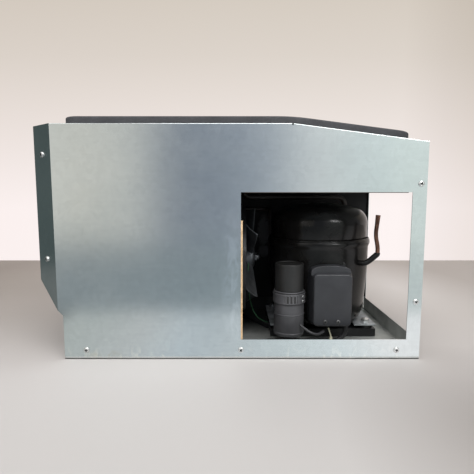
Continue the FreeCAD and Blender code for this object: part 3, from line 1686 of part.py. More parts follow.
def cable_tie():
    """Nylon tie round the lead, with its head and the tail that was left on."""
    along_x = Rotation(Vector(0, 0, 1), Vector(1, 0, 0))
    first_x = cable_x - cable_bend - tie_width
    middle_x = first_x + tie_width / 2
    ring = cylinder("tie_ring", cable_radius + tie_sheet, tie_width, first_x, cable_y, cable_z,
                    along_x)
    head_z = cable_z + cable_radius + tie_sheet / 2
    head = block("tie_head", first_x, first_x + tie_width,
                 cable_y - tie_width / 2, cable_y + tie_width / 2, head_z, head_z + tie_width / 2)
    tail = doc.addObject("Part::Box", "tie_tail")
    bind(tail, "Length", tie_width / 2)
    bind(tail, "Width", tie_sheet)
    bind(tail, "Height", tie_tail)
    place(tail, middle_x, cable_y, head_z, Rotation(Vector(0, 1, 0), -tie_lean))
    whole = fuse("tie_whole", [ring, head, tail])
    bore = cylinder("tie_bore", cable_radius, tie_width * 3, first_x - tie_width, cable_y,
                    cable_z, along_x)
    return keep(cut("cable_tie", whole, [bore]), "cable_tie")


def compartment_lining():
    """Black foam sheet on the far panel, thinner where it runs over the rear frame's leg."""
    made = body("compartment_lining")
    plan = sketch(made, "lining_plan", "XY_Plane", tray_flange + sheet)
    leg_x = rear_x - window_strip
    face_y = inner_y - sheet - seam_gap - screw_reach / 2 - lining
    outline(plan, [
        (bend_x + lining_start, face_y), (rear_x - sheet - seam_gap, face_y),
        (rear_x - sheet - seam_gap, face_y + lining), (leg_x, face_y + lining),
        (leg_x, inner_y), (bend_x + lining_start, inner_y),
    ])
    pad(made, plan, deck_z - tray_flange - sheet * 2)
    return keep(made)


def window_edge_tape():
    """Foam strips behind the panel that just show past the window's cut edge."""
    skin = near_y + sheet
    side = block("tape_side", window_x - tape_width * 3, window_x + tape_width,
                 skin, skin + tape_width * 2, window_bottom, tape_start)
    top = block("tape_top", window_x + tape_width * 2, window_end - tape_width * 2,
                skin, skin + tape_width, window_top - tape_show, window_top + tape_show)
    return keep(group("window_edge_tape", [side, top]), "window_edge_tape")


# The whole unit
side_panel(NEAR, "side_panel_window", True)
side_panel(FAR, "side_panel_plain", False)
base_tray()
front_panel()
rear_frame()
panel_screws(NEAR, "window_panel_screws")
panel_screws(FAR, "plain_panel_screws")
deck_plate()
insulation_tub()
tub_liner()
top_gasket()
evaporator()
evaporator_fan_deck()
evaporator_fan_frame()
evaporator_fan_rotor()
wire_guard("evaporator_fan_guard", cool_fan_bore, 4, Rotation(), cool_fan_x, as_size(0),
           fan_deck_low + sheet + guard_wire)
evaporator_fan_screws()
drain_tube()
condenser()
condenser_fan_shroud()
condenser_motor_bracket()
condenser_fan_motor()
condenser_fan()
compressor_rails()
compressor_grommets()
compressor_feet()
compressor_bolts()
compressor_shells()
terminal_cover()
terminal_cover_screws()
cover_clip()
capacitor()
capacitor_clamp()
refrigerant_tubes()
process_tubes()
junction_box()
cable_gland()
compressor_cable()
cable_tie()
compartment_lining()
window_edge_tape()


def check_and_write():
    """Stop on any failed object, then write each sub-part under its own name."""
    doc.recompute()
    for made in doc.Objects:
        if "Invalid" in made.State or "Error" in made.State:
            raise RuntimeError(f"{made.Label} failed: {made.State}")
    for made in subparts:
        if made.Shape.isNull() or not made.Shape.isValid():
            raise RuntimeError(f"{made.Label} has no valid shape")
    for made in subparts:
        made.Shape.exportStep(f"parts/{made.Label}.step")


check_and_write()
print(f"{len(subparts)} sub-parts written")
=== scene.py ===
import json
import math
import bmesh
import bpy
from mathutils import Matrix, Vector


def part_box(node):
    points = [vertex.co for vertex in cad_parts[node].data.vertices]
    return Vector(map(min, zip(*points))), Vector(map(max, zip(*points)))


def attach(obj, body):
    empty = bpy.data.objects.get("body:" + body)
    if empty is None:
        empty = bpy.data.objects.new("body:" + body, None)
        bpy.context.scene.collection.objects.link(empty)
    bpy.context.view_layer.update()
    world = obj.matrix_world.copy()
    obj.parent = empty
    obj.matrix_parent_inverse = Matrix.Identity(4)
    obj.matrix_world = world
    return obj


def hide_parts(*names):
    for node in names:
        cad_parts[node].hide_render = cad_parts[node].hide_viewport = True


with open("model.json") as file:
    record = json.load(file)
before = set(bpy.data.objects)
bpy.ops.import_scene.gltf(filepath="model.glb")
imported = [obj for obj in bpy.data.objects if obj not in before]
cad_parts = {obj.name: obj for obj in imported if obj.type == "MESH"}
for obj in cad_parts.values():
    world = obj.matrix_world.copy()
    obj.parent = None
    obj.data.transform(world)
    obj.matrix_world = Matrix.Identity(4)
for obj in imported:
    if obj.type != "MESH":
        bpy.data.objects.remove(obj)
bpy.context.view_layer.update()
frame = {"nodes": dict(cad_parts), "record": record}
scene = bpy.context.scene
nodes = frame["nodes"]
X, Y, Z = range(3)

# Camera: its place in metres, its pitch in degrees, its lens and sensor in millimetres
CAMERA_PLACE = Vector((0.0136, -0.668, 0.230))
CAMERA_PITCH = 6.2
LENS = 30.76
SENSOR_WIDTH = 36

# Studio and the room that the metal shows, in metres
UNIT_MIDDLE = Vector((0, 0, 0.15))
TABLE_HALF = 4
TABLE_NEAR = -3
TABLE_FRONT = -0.35
WALL_Y = 0.706
WALL_TOP = 4
ROOM_Y = -1.4
ROOM_HALF = 2
ROOM_TOP = 2.2


def make_camera():
    """The photograph's view: a little above the unit, square to the window panel."""
    data = bpy.data.cameras.new("view")
    data.lens = LENS
    data.sensor_width = SENSOR_WIDTH
    camera = bpy.data.objects.new("view", data)
    camera.location = CAMERA_PLACE
    camera.rotation_euler = (math.radians(90 - CAMERA_PITCH), 0, 0)
    scene.collection.objects.link(camera)
    scene.camera = camera


def area_light(name, place, size, power):
    """A soft rectangular lamp that points at the unit."""
    data = bpy.data.lights.new(name, "AREA")
    data.shape = "RECTANGLE"
    data.size = size[0]
    data.size_y = size[1]
    data.energy = power
    lamp = bpy.data.objects.new(name, data)
    lamp.location = place
    lamp.rotation_euler = (UNIT_MIDDLE - Vector(place)).to_track_quat("-Z", "Y").to_euler()
    scene.collection.objects.link(lamp)


class Finish:
    """A node material and the textures that feed its shader. Textures use row-frame metres."""

    def __init__(self, name, colour, roughness, metallic=0.0):
        self.material = bpy.data.materials.new(name)
        self.material.use_nodes = True
        self.tree = self.material.node_tree
        self.shader = self.tree.nodes["Principled BSDF"]
        self.coords = self.add("ShaderNodeTexCoord").outputs["Object"]
        self.shade({"Base Color": colour, "Roughness": roughness, "Metallic": metallic})

    def feed(self, socket, value):
        """Links an output to a socket, or sets the socket to a number, a vector or a colour."""
        if isinstance(value, bpy.types.NodeSocket):
            self.tree.links.new(value, socket)
        elif socket.type == "RGBA":
            socket.default_value = (*value, 1)
        else:
            socket.default_value = value

    def add(self, kind, settings=None):
        """A new node with some of its sockets set or linked."""
        node = self.tree.nodes.new(kind)
        for socket, value in (settings or {}).items():
            self.feed(node.inputs[socket], value)
        return node

    def shade(self, settings):
        """Sets or links sockets of the material's shader."""
        for socket, value in settings.items():
            self.feed(self.shader.inputs[socket], value)

    def mapped(self, scale, shift=(0, 0, 0)):
        """Texture coordinates scaled along each axis, then shifted."""
        mapping = self.add("ShaderNodeMapping", {
            "Vector": self.coords, "Scale": scale, "Location": shift})
        return mapping.outputs["Vector"]

    def noise(self, scale, detail=3, stretch=(1, 1, 1), distortion=0.0):
        """Clouds of grey from 0 to 1."""
        texture = self.add("ShaderNodeTexNoise", {
            "Vector": self.mapped(stretch), "Scale": scale, "Detail": detail, "Distortion": distortion})
        return texture.outputs["Fac"]

    def cells(self, scale, stretch=(1, 1, 1)):
        """One random grey per cell, such as a zinc crystal."""
        texture = self.add("ShaderNodeTexVoronoi", {"Vector": self.mapped(stretch), "Scale": scale})
        grey = self.add("ShaderNodeSeparateColor", {"Color": texture.outputs["Color"]})
        return grey.outputs["Red"]

    def span(self, source, low, high, low_in=0.0, high_in=1.0):
        """Maps a texture value to a range of numbers."""
        node = self.add("ShaderNodeMapRange", {
            "Value": source, "From Min": low_in, "From Max": high_in, "To Min": low, "To Max": high})
        return node.outputs["Result"]

    def along(self, axis, low, high):
        """0 to 1 between two places along an axis of the row frame."""
        split = self.add("ShaderNodeSeparateXYZ", {"Vector": self.coords})
        return self.span(split.outputs[axis], 0, 1, low, high)

    def spot(self, centre, reach):
        """1 at a place, falling to 0 at an ellipsoid of the given half sizes around it."""
        shift = [-place / half for place, half in zip(centre, reach)]
        length = self.add("ShaderNodeVectorMath", {0: self.mapped([1 / half for half in reach], shift)})
        length.operation = "LENGTH"
        return self.span(length.outputs["Value"], 1, 0)

    def combine(self, operation, first, second):
        """Arithmetic on two values, such as MULTIPLY."""
        node = self.add("ShaderNodeMath", {0: first, 1: second})
        node.operation = operation
        return node.outputs["Value"]

    def ramp(self, source, stops):
        """Colours along a texture value, as (place, colour)."""
        node = self.add("ShaderNodeValToRGB", {"Fac": source})
        elements = node.color_ramp.elements
        while len(elements) < len(stops):
            elements.new(0.5)
        for element, (place, colour) in zip(elements, stops):
            element.position = place
            element.color = (*colour, 1)
        return node.outputs["Color"]

    def blend(self, factor, first, second, mode="MIX"):
        """The second colour over the first where the factor is 1."""
        node = self.tree.nodes.new("ShaderNodeMix")
        node.data_type = "RGBA"
        node.blend_type = mode
        factor_socket, first_socket, second_socket = node.inputs[0], node.inputs[6], node.inputs[7]
        self.feed(factor_socket, factor)
        self.feed(first_socket, first)
        self.feed(second_socket, second)
        return node.outputs[2]

    def mixed(self, factor, other):
        """Puts another shader over the material where the factor is 1."""
        mix = self.add("ShaderNodeMixShader", {0: factor, 1: self.shader.outputs["BSDF"], 2: other})
        self.feed(self.tree.nodes["Material Output"].inputs["Surface"], mix.outputs["Shader"])

    def rough(self, source, low, high):
        """Roughness that follows a texture between two numbers."""
        self.shade({"Roughness": self.span(source, low, high)})

    def bump(self, source, depth, strength=1.0):
        """Fine relief of the given depth in metres."""
        node = self.add("ShaderNodeBump", {"Height": source, "Distance": depth, "Strength": strength})
        self.shade({"Normal": node.outputs["Normal"]})


# Colours of wear, dust and dirt, and of painted shade along the sheets' lower edge, on the tray's back and
# along the window foam's top
CHALK = (0.8, 0.82, 0.78)
WIPED_ZINC = (0.86, 0.9, 0.91)
RUSTY_STAIN = (0.58, 0.56, 0.44)
# Painted shadow along the sheets' lower edge
BOTTOM_EDGE_SHADE = (0.035, 0.035, 0.035)
ROLLED_GRAIN = (0.9, 0.93, 0.94)
DULL_SPOT = (0.36, 0.38, 0.36)
# Painted shade on the tray's back and along the window foam's top
TRAY_BACK_SHADE = (0.035, 0.037, 0.036)
FOAM_TOP_SHADE = (0.09, 0.05, 0.03)

# Worn and stained places, and two pale patches of painted light on the far wall's black lining: the middle
# of each and its half sizes, in metres
WINDOW_STAIN = (0.008, -0.125, 0.115), (0.018, 0.01, 0.1)
FOOT_STAIN = (-0.17, -0.125, 0.006), (0.026, 0.01, 0.009)
# Two pale patches of painted light on the far wall's black lining
UPPER_LIT_PATCH = (0.066, 0.118, 0.158), (0.014, 0.03, 0.034)
LOWER_LIT_PATCH = (0.066, 0.118, 0.118), (0.013, 0.03, 0.014)


def toned(colour, gain=1.0, lift=0.0):
    """A colour made darker or lighter, or washed out by a lift."""
    return tuple(channel * gain + lift for channel in colour)


def wear_and_shade_marks(finish, base, spots):
    """Chalk along the foot, a wiped patch by the window, a stain, and a painted shadow along the lower
    edge, where the sheet stands just above the table.
    """
    chalk = finish.noise(90, 6, (1, 1, 0.5), 0.8)
    foot = finish.combine("MULTIPLY", finish.along(Z, 0.022, 0.0), finish.span(chalk, 0, 1, 0.55, 0.66))
    patch = finish.combine("MULTIPLY", finish.spot(*WINDOW_STAIN), finish.span(chalk, 0.05, 1.5, 0.4, 0.65))
    stain = finish.combine("MULTIPLY", finish.spot(*FOOT_STAIN), finish.span(spots, 0, 0.8, 0.4, 0.6))
    # Painted shadow: the lowest two millimetres darken, as in the gap between the sheet and the table.
    edge = finish.along(Z, 0.0021, 0.0009)
    for mask, colour in ((foot, CHALK), (patch, WIPED_ZINC), (stain, RUSTY_STAIN), (edge, BOTTOM_EDGE_SHADE)):
        base = finish.blend(mask, base, colour)
    return base


def galvanised(name, light, dark, roughness=0.2, worn_and_shaded=True):
    """Zinc-coated sheet: faint crystals, rolling grain, cloudy patches, and if worn, stains and a painted
    shadow along the lower edge.
    """
    finish = Finish(name, light, roughness, 1.0)
    clouds = finish.noise(7, 4, (1, 1, 1.5), 0.4)
    crystals = finish.cells(170, (1, 1, 0.8))
    grain = finish.noise(330, 5, (0.1, 1, 1))
    spots = finish.noise(46, 7, (1, 1, 0.7), 1.4)
    base = finish.ramp(clouds, [(0.25, dark), (0.72, light)])
    speckled = finish.blend(finish.span(crystals, 0, 0.12), base, toned(light, 0.62))
    streaked = finish.blend(finish.span(grain, 0, 0.07, 0.42, 0.72), speckled, ROLLED_GRAIN)
    stained = finish.blend(finish.span(spots, 0, 0.3, 0.7, 0.82), streaked, DULL_SPOT)
    finish.shade({"Base Color": wear_and_shade_marks(finish, stained, spots) if worn_and_shaded else stained})
    finish.rough(finish.noise(60, 6), roughness - 0.03, roughness + 0.05)
    finish.bump(finish.noise(28, 3), 0.00003, 0.5)
    return finish.material


def enamel(name, colour, roughness):
    """Satin black enamel with dust in soft patches."""
    finish = Finish(name, colour, roughness)
    pale_patches = finish.noise(24, 5, (1, 1, 1), 0.8)
    finish.shade({
        "Base Color": finish.ramp(pale_patches, [(0.35, colour), (0.75, toned(colour, lift=0.01))]),
        "Specular IOR Level": 0.22, "Coat Weight": 0.08, "Coat Roughness": 0.22})
    finish.rough(finish.noise(60, 4), roughness - 0.08, roughness + 0.12)
    finish.bump(finish.noise(420, 2), 0.00006)
    return finish.material


def plastic(name, colour, roughness, grain=700, depth=0.00005):
    """Moulded plastic with a fine spark-eroded grain."""
    finish = Finish(name, colour, roughness)
    wear = finish.noise(40, 4)
    finish.shade({"Base Color": finish.ramp(wear, [(0.4, colour), (0.8, toned(colour, 1.35, 0.004))])})
    finish.rough(finish.noise(90, 3), roughness - 0.06, roughness + 0.08)
    finish.bump(finish.noise(grain, 2), depth)
    return finish.material


def bare_metal(name, light, dark, roughness, metallic=0.9, scale=60):
    """Drawn, ground or plated metal with dull patches and fine lines."""
    finish = Finish(name, light, roughness, metallic)
    clouds = finish.noise(scale, 5, (1, 1, 1), 0.5)
    finish.shade({"Base Color": finish.ramp(clouds, [(0.35, dark), (0.7, light)])})
    finish.rough(finish.noise(scale * 3, 3), roughness - 0.08, roughness + 0.12)
    finish.bump(finish.noise(900, 2), 0.00003)
    return finish.material


def foam(name, colour, pale, scale=520):
    """Cellular rubber or foam: small open pores and dusty high spots."""
    finish = Finish(name, colour, 0.85)
    pores = finish.cells(scale)
    base = finish.ramp(finish.noise(30, 4), [(0.3, colour), (0.75, pale)])
    finish.shade({"Base Color": finish.blend(finish.span(pores, 0, 0.35), base, toned(colour, 0.6))})
    finish.bump(pores, 0.0003, 0.5)
    return finish.material


def tray_sheet(name, light, dark):
    """Dull zinc, with painted shade that darkens it towards the back and the left, behind the fan."""
    finish = Finish(name, light, 0.5, 0.45)
    unshaded = finish.ramp(finish.noise(40, 6), [(0.3, dark), (0.7, light)])
    # Painted shade: the floor darkens towards the back and the left of the tray.
    back_shade = finish.combine("MULTIPLY", finish.along(Y, -0.03, 0.04), finish.along(X, 0.13, 0.07))
    finish.shade({"Base Color": finish.blend(back_shade, unshaded, TRAY_BACK_SHADE)})
    finish.rough(finish.noise(90, 3), 0.42, 0.6)
    finish.bump(finish.noise(60, 3), 0.00006)
    return finish.material


def shade_lining(name, colour, lit_colour):
    """Black foam lining, dark as painted shade on the far panel's inner face, with two pale patches of
    painted light where that wall shows lit.
    """
    finish = Finish(name, colour, 0.9)
    grain = finish.span(finish.noise(260, 3), 0.4, 1.6, 0.3, 0.7)
    # Painted light: two pale patches, broken up by a fine grain.
    patches = finish.combine("MAXIMUM", finish.spot(*UPPER_LIT_PATCH), finish.spot(*LOWER_LIT_PATCH))
    strong = finish.combine("MULTIPLY", finish.combine("MULTIPLY", patches, grain), 3)
    pale_patches = finish.combine("MINIMUM", strong, 1)
    finish.shade({"Base Color": finish.blend(pale_patches, colour, lit_colour)})
    finish.bump(finish.cells(520), 0.0003, 0.5)
    return finish.material


def window_foam(name, colour, pale):
    """Sealing foam, with painted shade that darkens it where it lies along the window's top."""
    finish = Finish(name, colour, 0.85)
    unshaded = finish.ramp(finish.noise(120, 4), [(0.3, colour), (0.75, pale)])
    # Painted shade: the foam darkens above 0.21 m, along the window's top edge.
    finish.shade({"Base Color": finish.blend(finish.along(Z, 0.21, 0.226), unshaded, FOAM_TOP_SHADE)})
    finish.bump(finish.cells(700), 0.0003, 0.5)
    return finish.material


# Colours along the table, the wall and the cards of the room, as (place, colour)
# The table's colours along Y are painted light: palest just before the unit, darker behind it.
TABLE_COLOURS = [
    (0.0, (0.5, 0.485, 0.475)), (0.12, (0.55, 0.525, 0.51)), (0.25, (0.57, 0.54, 0.525)),
    (0.45, (0.46, 0.425, 0.4)), (0.8, (0.41, 0.37, 0.335)), (1.0, (0.41, 0.37, 0.33)),
]
# The wall's colours are painted light: brightest low down behind the unit, darker towards its top and its
# right end.
WALL_ACROSS = [
    (0.0, (0.965, 0.88, 0.865)), (0.5, (0.985, 0.905, 0.89)), (0.85, (0.99, 0.91, 0.895)),
    (0.94, (0.9, 0.82, 0.8)), (1.0, (0.86, 0.78, 0.75)),
]
WALL_UP = [
    (0.0, (1, 1, 1)), (0.2, (1, 1, 1)), (0.75, (0.73, 0.725, 0.67)), (1.0, (0.66, 0.65, 0.58)),
]
# A light wall on the left, the dim middle of the room, and daylight on the right
FRONT_ROOM = [
    (0.0, (0.9, 0.88, 0.85)), (0.1, (0.68, 0.66, 0.61)), (0.17, (0.7, 0.67, 0.62)),
    (0.27, (0.7, 0.69, 0.66)), (0.36, (0.23, 0.26, 0.32)), (0.48, (0.255, 0.29, 0.355)),
    (0.58, (0.37, 0.41, 0.48)), (0.69, (0.78, 0.79, 0.8)), (0.8, (0.73, 0.8, 0.81)),
    (0.9, (0.87, 0.94, 0.91)), (1.0, (0.8, 0.85, 0.83)),
]
DIM_FLOOR = [
    (0.0, (0.25, 0.27, 0.28)), (0.5, (0.225, 0.275, 0.31)), (0.72, (0.6, 0.65, 0.65)),
    (1.0, (0.66, 0.7, 0.69)),
]
# The table just before the panel: daylight falls on it from the right
BRIGHT_TABLE = [
    (0.0, (0.54, 0.56, 0.55)), (0.21, (0.6, 0.61, 0.62)), (0.36, (0.58, 0.63, 0.68)),
    (0.5, (0.58, 0.62, 0.66)), (0.66, (0.68, 0.73, 0.76)), (0.83, (0.85, 0.89, 0.92)),
    (1.0, (1.0, 0.98, 1.0)),
]
LEFT_TABLE = [(0.0, (0.15, 0.16, 0.16)), (1.0, (0.11, 0.13, 0.13))]
CEILING = [(0.0, (0.9, 0.9, 0.9)), (1.0, (1.0, 1.0, 1.0))]
DARK_CORNER = [(0.3, (0.05, 0.07, 0.07)), (0.7, (0.075, 0.1, 0.1))]


def plane(name, corners, finish):
    """A flat part of the studio."""
    mesh = bpy.data.meshes.new(name)
    mesh.from_pydata(corners, [], [(0, 1, 2, 3)])
    mesh.materials.append(finish.material)
    made = bpy.data.objects.new(name, mesh)
    scene.collection.objects.link(made)
    return made


def upright(x0, x1, y, z0, z1):
    """Corners of an upright card that faces +Y, or -Y where x0 is the larger."""
    return [(x1, y, z0), (x0, y, z0), (x0, y, z1), (x1, y, z1)]


def lying(x0, x1, y0, y1, z):
    """Corners of a level card that faces up, or down where x0 is the larger."""
    return [(x0, y0, z), (x1, y0, z), (x1, y1, z), (x0, y1, z)]


def room_card(name, corners, stops, axis=None, ends=None, strength=1.0):
    """A part of the room that only shiny surfaces show. Without an axis its colours lie in clouds."""
    card = Finish(name, (0, 0, 0), 1)
    place = card.noise(2, 2) if axis is None else card.along(axis, *ends)
    card.shade({"Emission Color": card.ramp(place, stops), "Emission Strength": strength})
    behind = card.add("ShaderNodeNewGeometry").outputs["Backfacing"]
    card.mixed(behind, card.add("ShaderNodeBsdfTransparent").outputs["BSDF"])
    made = plane(name, corners, card)
    made.visible_camera = False
    made.visible_diffuse = False
    made.visible_shadow = False


def room():
    """What the metal shows of the room before the unit, above it and beside it."""
    whole = -ROOM_HALF, ROOM_HALF
    middle = -1.0, 1.0
    room_card("front_room", upright(*whole, ROOM_Y, 0, ROOM_TOP), FRONT_ROOM, X, middle)
    room_card("dim_floor", lying(*whole, ROOM_Y, TABLE_FRONT, 0.001), DIM_FLOOR, X, middle)
    room_card("bright_table", lying(*middle, TABLE_FRONT, -0.13, 0.0015), BRIGHT_TABLE, X, (-0.25, 0.25))
    room_card("left_table", lying(-1, -0.3, TABLE_FRONT, 0.5, 0.002), LEFT_TABLE, Y, (TABLE_FRONT, 0.5))
    room_card("room_window", upright(0.66, 1.24, ROOM_Y + 0.01, 0.89, 1.03), CEILING, X, whole, 26)
    room_card("ceiling", lying(ROOM_HALF, -ROOM_HALF, ROOM_Y, WALL_Y, ROOM_TOP), CEILING, X, whole)
    room_card("dark_corner", [(-1, -0.6, 0.002), (-1, 0.6, 0.002), (-1, 0.6, 1), (-1, -0.6, 1)],
              DARK_CORNER)


def table_top():
    """Pale veined table, with painted light: a sheen along its depth, a painted glare and a paler band on
    the right, and painted shade towards two corners.
    """
    table = Finish("table_top", (0.5, 0.49, 0.48), 0.6)
    shown = table.ramp(table.along(Y, -0.5, 0.8), TABLE_COLOURS)
    veins = table.span(table.noise(3, 4), 0, 0.12, 0.35, 0.7)
    # Painted light: a glare behind the unit on the right and a paler band at the far right; painted shade
    # towards the near right and far left corners.
    glare = table.combine("MULTIPLY", table.spot((0.4, 0.3, 0), (0.22, 0.45, 1)), 0.75)
    right = table.combine("MULTIPLY", table.along(X, 0.5, 0.75), 0.1)
    near_corner_shade = table.combine("MULTIPLY", table.spot((0.31, -0.33, 0), (0.2, 0.26, 1)), 0.95)
    far_corner_shade = table.combine("MULTIPLY", table.along(X, -0.25, -0.7), table.along(Y, -0.2, 0.3))
    for mask, colour in (
        (veins, (0.6, 0.58, 0.56)), (glare, (0.74, 0.71, 0.69)), (right, (0.7, 0.67, 0.65)),
        (near_corner_shade, (0.25, 0.225, 0.21)), (far_corner_shade, (0.3, 0.26, 0.225)),
    ):
        shown = table.blend(mask, shown, colour)
    table.shade({"Base Color": shown})
    table.rough(table.noise(6, 4), 0.45, 0.65)
    return table


def wall_paint():
    """Pale wall, with painted light: brightest low down behind the unit, darker towards its top and its
    right end. The camera and clear or shiny surfaces see this painted colour as a glow, whatever the lamps
    do.
    """
    wall = Finish("wall_paint", (0.86, 0.82, 0.8), 0.8)
    across = wall.ramp(wall.along(X, -0.8, 0.8), WALL_ACROSS)
    up = wall.ramp(wall.along(Z, 0.0, 0.9), WALL_UP)
    shown = wall.blend(1.0, across, up, "MULTIPLY")
    wall.shade({"Base Color": shown})
    paths = wall.add("ShaderNodeLightPath").outputs
    clear = wall.combine("MAXIMUM", paths["Is Glossy Ray"], paths["Is Transmission Ray"])
    seen = wall.combine("MAXIMUM", paths["Is Camera Ray"], clear)
    wall.mixed(seen, wall.add("ShaderNodeEmission", {"Color": shown}).outputs["Emission"])
    return wall


def studio():
    """Pale table and wall, soft light from above and in front, and the room that the metal shows."""
    plane("table", lying(-TABLE_HALF, TABLE_HALF, TABLE_NEAR, WALL_Y, 0), table_top())
    plane("wall", upright(TABLE_HALF, -TABLE_HALF, WALL_Y, 0, WALL_TOP), wall_paint())
    room()
    area_light("key", (0.35, -1.1, 1.7), (1.6, 1.2), 31)
    area_light("fill", (-1.3, -1.2, 1.2), (1.2, 1.2), 8)
    world = bpy.data.worlds.new("studio")
    world.use_nodes = True
    background = world.node_tree.nodes["Background"]
    background.inputs["Color"].default_value = (0.97, 0.98, 1, 1)
    background.inputs["Strength"].default_value = 0.42
    scene.world = world
    scene.view_settings.view_transform = "Standard"


# One finish for each material slot of the part
MATERIALS = {
    "galvanised_sheet": galvanised("galvanised_sheet", (0.72, 0.76, 0.75), (0.64, 0.69, 0.69)),
    "inner_sheet": galvanised("inner_sheet", (0.46, 0.5, 0.5), (0.36, 0.4, 0.4), 0.4, worn_and_shaded=False),
    "zinc_screws": bare_metal("zinc_screws", (0.78, 0.78, 0.76), (0.55, 0.55, 0.54), 0.3),
    "gasket_foam": foam("gasket_foam", (0.045, 0.045, 0.05), (0.075, 0.075, 0.082)),
    "window_foam": window_foam("window_foam", (0.62, 0.4, 0.2), (0.85, 0.62, 0.38)),
    "insulation_foam": foam("insulation_foam", (0.72, 0.68, 0.52), (0.82, 0.78, 0.64), 400),
    "liner_plastic": plastic("liner_plastic", (0.075, 0.078, 0.085), 0.45),
    "fins": bare_metal("fins", (0.72, 0.74, 0.76), (0.55, 0.57, 0.6), 0.38),
    "coil_plates": galvanised("coil_plates", (0.5, 0.53, 0.54), (0.4, 0.43, 0.45), 0.36, worn_and_shaded=False),
    "copper": bare_metal("copper", (0.3, 0.15, 0.1), (0.11, 0.06, 0.045), 0.4, 0.9, 90),
    "dark_painted_sheet": enamel("dark_painted_sheet", (0.012, 0.012, 0.013), 0.42),
    "fan_aluminium": bare_metal("fan_aluminium", (0.16, 0.165, 0.175), (0.1, 0.105, 0.11), 0.5),
    "motor_paint": enamel("motor_paint", (0.014, 0.014, 0.015), 0.4),
    "shaft_steel": bare_metal("shaft_steel", (0.62, 0.62, 0.62), (0.42, 0.42, 0.42), 0.28),
    "fan_plastic": plastic("fan_plastic", (0.02, 0.02, 0.022), 0.42),
    "compressor_enamel": enamel("compressor_enamel", (0.005, 0.0045, 0.004), 0.19),
    "foot_steel": bare_metal("foot_steel", (0.55, 0.58, 0.6), (0.32, 0.34, 0.35), 0.5, 0.7),
    "grommet_rubber": plastic("grommet_rubber", (0.012, 0.012, 0.012), 0.7, 300),
    "cover_plastic": plastic("cover_plastic", (0.025, 0.026, 0.03), 0.42),
    "capacitor_case": plastic("capacitor_case", (0.009, 0.0086, 0.008), 0.5, 500),
    "drier_copper": bare_metal("drier_copper", (0.5, 0.26, 0.16), (0.25, 0.13, 0.09), 0.36),
    "box_plastic": plastic("box_plastic", (0.02, 0.02, 0.022), 0.5),
    "cable_jacket": plastic("cable_jacket", (0.013, 0.013, 0.014), 0.5, 250, 0.0001),
    "tie_nylon": plastic("tie_nylon", (0.6, 0.58, 0.42), 0.45),
}
SLOT_OF = {entry["node"]: entry["material_slot"] for entry in frame["record"]["subparts"]}

# Finishes of single pieces, which differ from the rest of their slot
BOOT_PLASTIC = plastic("boot_plastic", (0.064, 0.064, 0.069), 0.45, 500)
DARK_LINE = plastic("dark_line", (0.022, 0.014, 0.01), 0.45, 400)
DULL_STEEL = bare_metal("dull_steel", (0.3, 0.3, 0.3), (0.16, 0.16, 0.16), 0.4)
CLIP_STEEL = bare_metal("clip_steel", (0.2, 0.2, 0.2), (0.1, 0.1, 0.1), 0.5)
SLOT_SHADE = plastic("slot_shade", (0.004, 0.004, 0.004), 0.7, 400)
GREY_JACKET = plastic("grey_jacket", (0.035, 0.035, 0.038), 0.5, 250, 0.0001)
GREEN_JACKET = plastic("green_jacket", (0.02, 0.09, 0.035), 0.45, 250, 0.0001)
OWN_FINISH = {
    "base_tray": tray_sheet("tray_sheet", (0.5, 0.51, 0.49), (0.34, 0.355, 0.34)),
    # The far wall's black lining is painted shade, with two patches of painted light
    "compartment_lining": shade_lining("shade_lining", (0.012, 0.012, 0.013), (0.09, 0.093, 0.1)),
    "capacitor_boot": BOOT_PLASTIC,
    "suction_line": DARK_LINE,
    "discharge_line": DARK_LINE,
    "cover_clip": CLIP_STEEL,
    "condenser_fan_nut": MATERIALS["fan_aluminium"],
    "condenser_fan_shaft": MATERIALS["fan_aluminium"],
}

# Nodes that are mostly flat sheet are shaded flat, so that their long facets show no streaks
SHEET_NODES = {
    "side_panel_window", "side_panel_plain", "base_tray", "front_panel", "rear_frame", "deck_plate",
    "evaporator_fan_deck", "evaporator_end_plates", "condenser_end_plates", "compressor_rails",
    "condenser_motor_bracket", "compressor_feet", "insulation_tub", "compartment_lining",
}

# Rounding of the CAD edges, and the distance within which facets are joined, in metres
EDGE_WIDTH = 0.0003
WELD_REACH = 0.00001


def add_bevel(piece, width, smooth=True):
    """A fine rounding along the sharp edges of a piece."""
    bevel = piece.modifiers.new("edge", "BEVEL")
    bevel.width = width
    bevel.segments = 2
    bevel.limit_method = "ANGLE"
    bevel.angle_limit = math.radians(40)
    bevel.harden_normals = smooth


def dress_frame():
    """Gives every CAD node its finish, joined facets and rounded edges."""
    for name, node in nodes.items():
        node.data.materials.clear()
        node.data.materials.append(OWN_FINISH.get(name, MATERIALS[SLOT_OF[name]]))
        is_sheet = name in SHEET_NODES
        for face in node.data.polygons:
            face.use_smooth = not is_sheet
        weld = node.modifiers.new("join_facets", "WELD")
        weld.merge_threshold = WELD_REACH
        add_bevel(node, EDGE_WIDTH, not is_sheet)


# Raised beads, in metres: how finely they are cut and how deep they sit in their cylinder
BEAD_STEPS = 6
BEAD_SIDES = 64
BEAD_SUNK = 0.0002


def add_piece(name, shape, slot, replaced=(), finish=None, smooth=True):
    """Makes an object from a bmesh, with its finish. It rides on the unit's body."""
    bmesh.ops.recalc_face_normals(shape, faces=shape.faces)
    mesh = bpy.data.meshes.new(name)
    shape.to_mesh(mesh)
    shape.free()
    for face in mesh.polygons:
        face.use_smooth = smooth
    mesh.materials.append(finish or MATERIALS[slot])
    made = bpy.data.objects.new(name, mesh)
    scene.collection.objects.link(made)
    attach(made, "unit")
    if replaced:
        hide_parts(*replaced)
    return made


def plan_middle(node):
    """Middle of a node's box, seen from above."""
    low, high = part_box(node)
    return (low[X] + high[X]) / 2, (low[Y] + high[Y]) / 2


